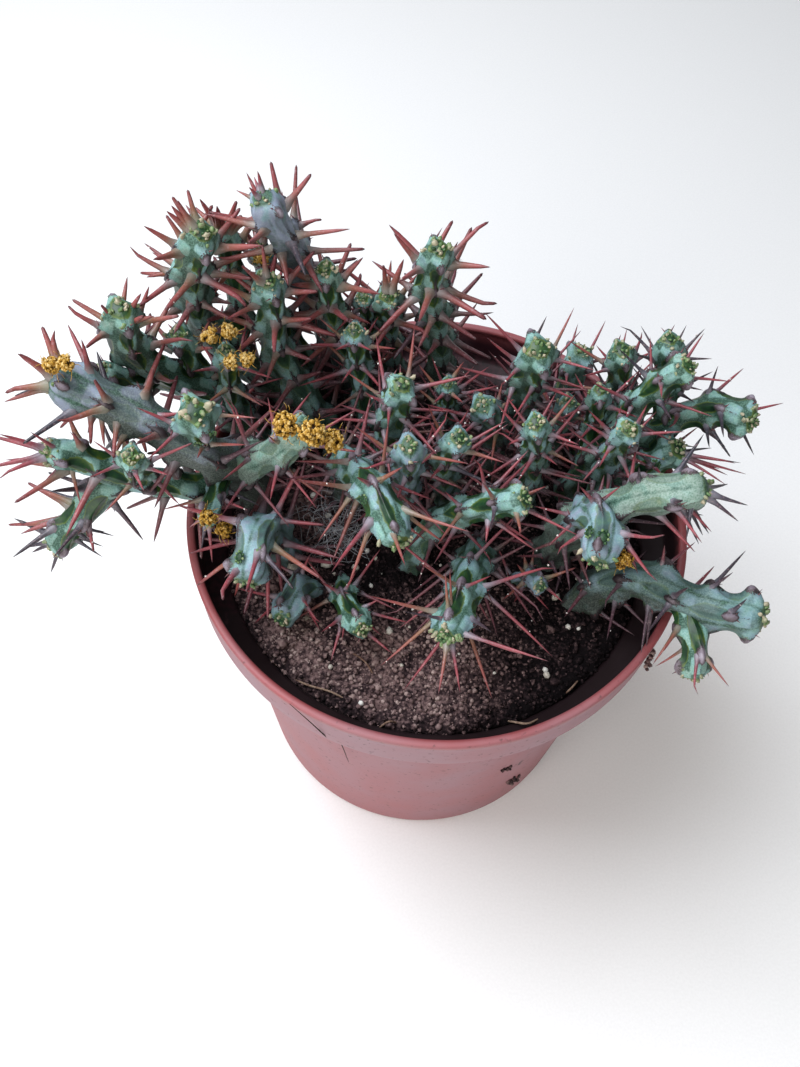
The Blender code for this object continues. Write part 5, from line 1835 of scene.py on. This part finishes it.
        # painted shade: crumbs darken towards the wall, under the rim
        tone = np.clip(tone - 0.22 * ease(40, 46, np.hypot(x, y)), 0.02, 0.95)
        surface, centre = Surface(), np.stack([x, y, z], -1)
        for coarse, grown in ((False, 1.0), (True, 1.15)):
            here = (size < self.small_crumb) == coarse
            self.scatter(surface, centre[here], size[here] * grown, tone[here], rng, rough=0.34,
                         coarse=coarse)
        surface.piece("soil_crumbs", [self.finishes.soil], "soil")

    def grains(self) -> None:
        """Scatter perlite and pale stones, on the soil and caught among the stems."""
        rng, count = np.random.default_rng(self.seed + 1), self.grain_count
        x, y = self.strew(rng, self.grain_reach, count)
        size = rng.uniform(0.35, 1.0, count)
        centre = np.stack([x, y, self.height(x, y) + size * 0.5], -1)
        surface = Surface()
        self.scatter(surface, centre, size, rng.uniform(0.35, 1.0, count), rng, 0.85, 0.12)
        for table in (self.stones, self.caught):
            rows = np.array(table)
            self.scatter(surface, rows[:, :3], rows[:, 3], rows[:, 4], rng, 0.85, 0.1)
        surface.piece("perlite_grains", [self.finishes.perlite], "soil")

    def fibres(self) -> None:
        """Lay root fibres on the soil and a thread over the rim, each thinner at both ends."""
        surface = Surface()
        for route, radius, tone in self.strands:
            path = smooth_route(route, 8)
            bulge = np.sin(math.pi * np.linspace(0, 1, len(path))) ** 0.5
            surface.add_threads(path[None], radius * (0.35 + 0.65 * bulge)[None], 6,
                                (0.13, 0.21, 1.0), 0.05, tone=tone)
        surface.piece("root_fibres", [self.finishes.fibre], "soil")

    def clods(self) -> None:
        """Stick clods of soil on the outside of the wall and on the rim."""
        rng, clods, count = np.random.default_rng(self.seed + 2), Surface(), self.rim_clods
        for angle, height, many, spread, size in self.wall_clods:
            spot = self.around(rng, many, 43.2, angle, height, (spread, spread * 0.4, spread * 1.5))
            self.scatter(clods, push_out(spot, outside_wall(spot[:, 2]) + 0.15),
                         size * rng.uniform(0.6, 1.3, many), rng.uniform(0.1, 0.4, many), rng)
        spot = self.around(rng, count, RIM_RADIUS - 0.2, -31.5, 80.5, (0.4, 1.1, 1.7))
        outer = np.maximum(np.hypot(spot[:, 0], spot[:, 1]), RIM_RADIUS + 0.1)
        self.scatter(clods, push_out(spot, outer), rng.uniform(0.3, 0.7, count),
                     rng.uniform(0.02, 0.9, count), rng)
        clods.piece("soil_clods_on_wall", [self.finishes.soil], "soil")

    def around(self, rng: np.random.Generator, count: int, reach: float, angle: float,
               height: float, spread: Point) -> Array:
        """Random places round a point of the wall.

        Args:
            rng: Random draws.
            count: How many.
            reach: The point's distance from the pot's middle line.
            angle: Its angle.
            height: Its height.
            spread: How far they stray, across, along and up.

        Returns:
            The places.
        """
        a = math.radians(angle)
        point = np.array([math.cos(a) * reach, math.sin(a) * reach, height])
        return point + rng.normal(size=(count, 3)) * spread

    def cobweb(self) -> None:
        """Hang a dusty cobweb between the stems: threads that sag between random anchors."""
        rng, count = np.random.default_rng(self.seed + 3), self.threads
        start, end = (self.web_heart + rng.normal(size=(count, 3)) * self.web_spread
                      for _ in range(2))
        t = np.linspace(0, 1, 8)[None, :, None]
        path = start[:, None] * (1 - t) + end[:, None] * t
        path = path + rng.normal(size=(count, 1, 3)) * 1.6 * np.sin(math.pi * t)
        surface = Surface()
        surface.add_threads(path, rng.uniform(0.03, 0.06, (count, 1)), 3, (0.2, 0.1, 1.0),
                            tone=rng.random(count))
        surface.piece("cobweb", [self.finishes.silk], "stem")


# ---- studio

@dataclass
class Studio:
    """A pale floor, soft light and the camera."""

    eye: Point = (-7.6, -124.3, 284.3)
    tilt: float = 31.05  # from looking straight down
    roll: float = 3.72
    lens: float = 49.5
    sensor: float = 36.0
    floor_size: float = 4000.0
    floor_level: float = -0.05
    paper_tooth: float = 0.6  # the sheet's grain
    lit: Point = (0, 0, 95)  # where the lamps are aimed
    sky: float = 0.24

    def build(self) -> None:
        """Set up the floor, the world, the lamps and the camera."""
        self.floor()
        self.world()
        self.lamp("key_softbox", (-250, 60, 560), 420, 4.1, "#F4F8FF")
        self.lamp("fill_softbox", (-160, -420, 330), 480, 1.7, "#FFFAF4")
        self.camera()
        bpy.context.scene.view_settings.view_transform = "Standard"

    def floor(self) -> None:
        """Lay a sheet of matt paper just under the pot."""
        half = self.floor_size / 2
        surface = Surface()
        surface.add(np.array([(x * half, y * half, self.floor_level) for x, y in
                              ((-1, -1), (1, -1), (1, 1), (-1, 1))]),
                    np.array([[0, 1, 2, 3]]), np.zeros((0, 3), int))
        made, add, shader, place = start_material("matt_white_paper")
        tooth = add("TexNoise", {"Vector": place, "Scale": 1 / (self.paper_tooth * MM), "Detail": 2.0})
        shade = add("ValToRGB", (tooth,), ((0.3, "#F6F6F5"), (0.7, "#FBFBFA")))
        feed(shader, {"Base Color": shade, "Roughness": 0.95, "Specular IOR Level": 0.1})
        surface.object("paper_floor", [made])

    def world(self) -> None:
        """Surround the set with even, slightly cool light."""
        world = bpy.data.worlds.new("soft_daylight")
        world.use_nodes = True
        sky = world.node_tree.nodes["Background"]
        sky.inputs["Color"].default_value = linear("#F6F8FA")
        sky.inputs["Strength"].default_value = self.sky
        bpy.context.scene.world = world

    def lamp(self, name: str, place: Point, size: float, power: float, colour: str) -> None:
        """Hang a square softbox aimed at the plant.

        Args:
            name: Its name.
            place: Where it hangs.
            size: Its side.
            power: Watts.
            colour: Its light.
        """
        light = bpy.data.lights.new(name, "AREA")
        light.size = size * MM
        light.energy = power
        light.color = linear(colour)[:3]
        box = bpy.data.objects.new(name, light)
        box.location = Vector(place) * MM
        aim = Vector(self.lit) * MM - box.location
        box.rotation_euler = aim.to_track_quat("-Z", "Y").to_euler()
        bpy.context.scene.collection.objects.link(box)

    def camera(self) -> None:
        """Set the camera above the front, looking steeply down."""
        lens = bpy.data.cameras.new("camera")
        lens.lens = self.lens
        lens.sensor_width = self.sensor
        lens.sensor_fit = "HORIZONTAL"
        lens.clip_start, lens.clip_end = 0.01, 20.0
        eye = bpy.data.objects.new("camera", lens)
        turn = (Euler((math.radians(self.tilt), 0, 0)).to_matrix()
                @ Euler((0, 0, math.radians(self.roll))).to_matrix())
        eye.matrix_world = turn.to_4x4()
        eye.location = Vector(self.eye) * MM
        bpy.context.scene.collection.objects.link(eye)
        bpy.context.scene.camera = eye


def main() -> None:
    """Build the studio, then the pot, the soil, the stems and the blooms."""
    logging.basicConfig(level=logging.INFO, format="%(name)s %(message)s")
    finishes = Finishes()
    Studio().build()
    Pot(finishes).build()
    SoilBed(finishes).build()
    Stems(finishes).build()
    for index, place in enumerate(BLOOMS):
        BloomHead(place, np.random.default_rng([BLOOM_SEED, index])).build(finishes)


if __name__ == "__main__":
    main()
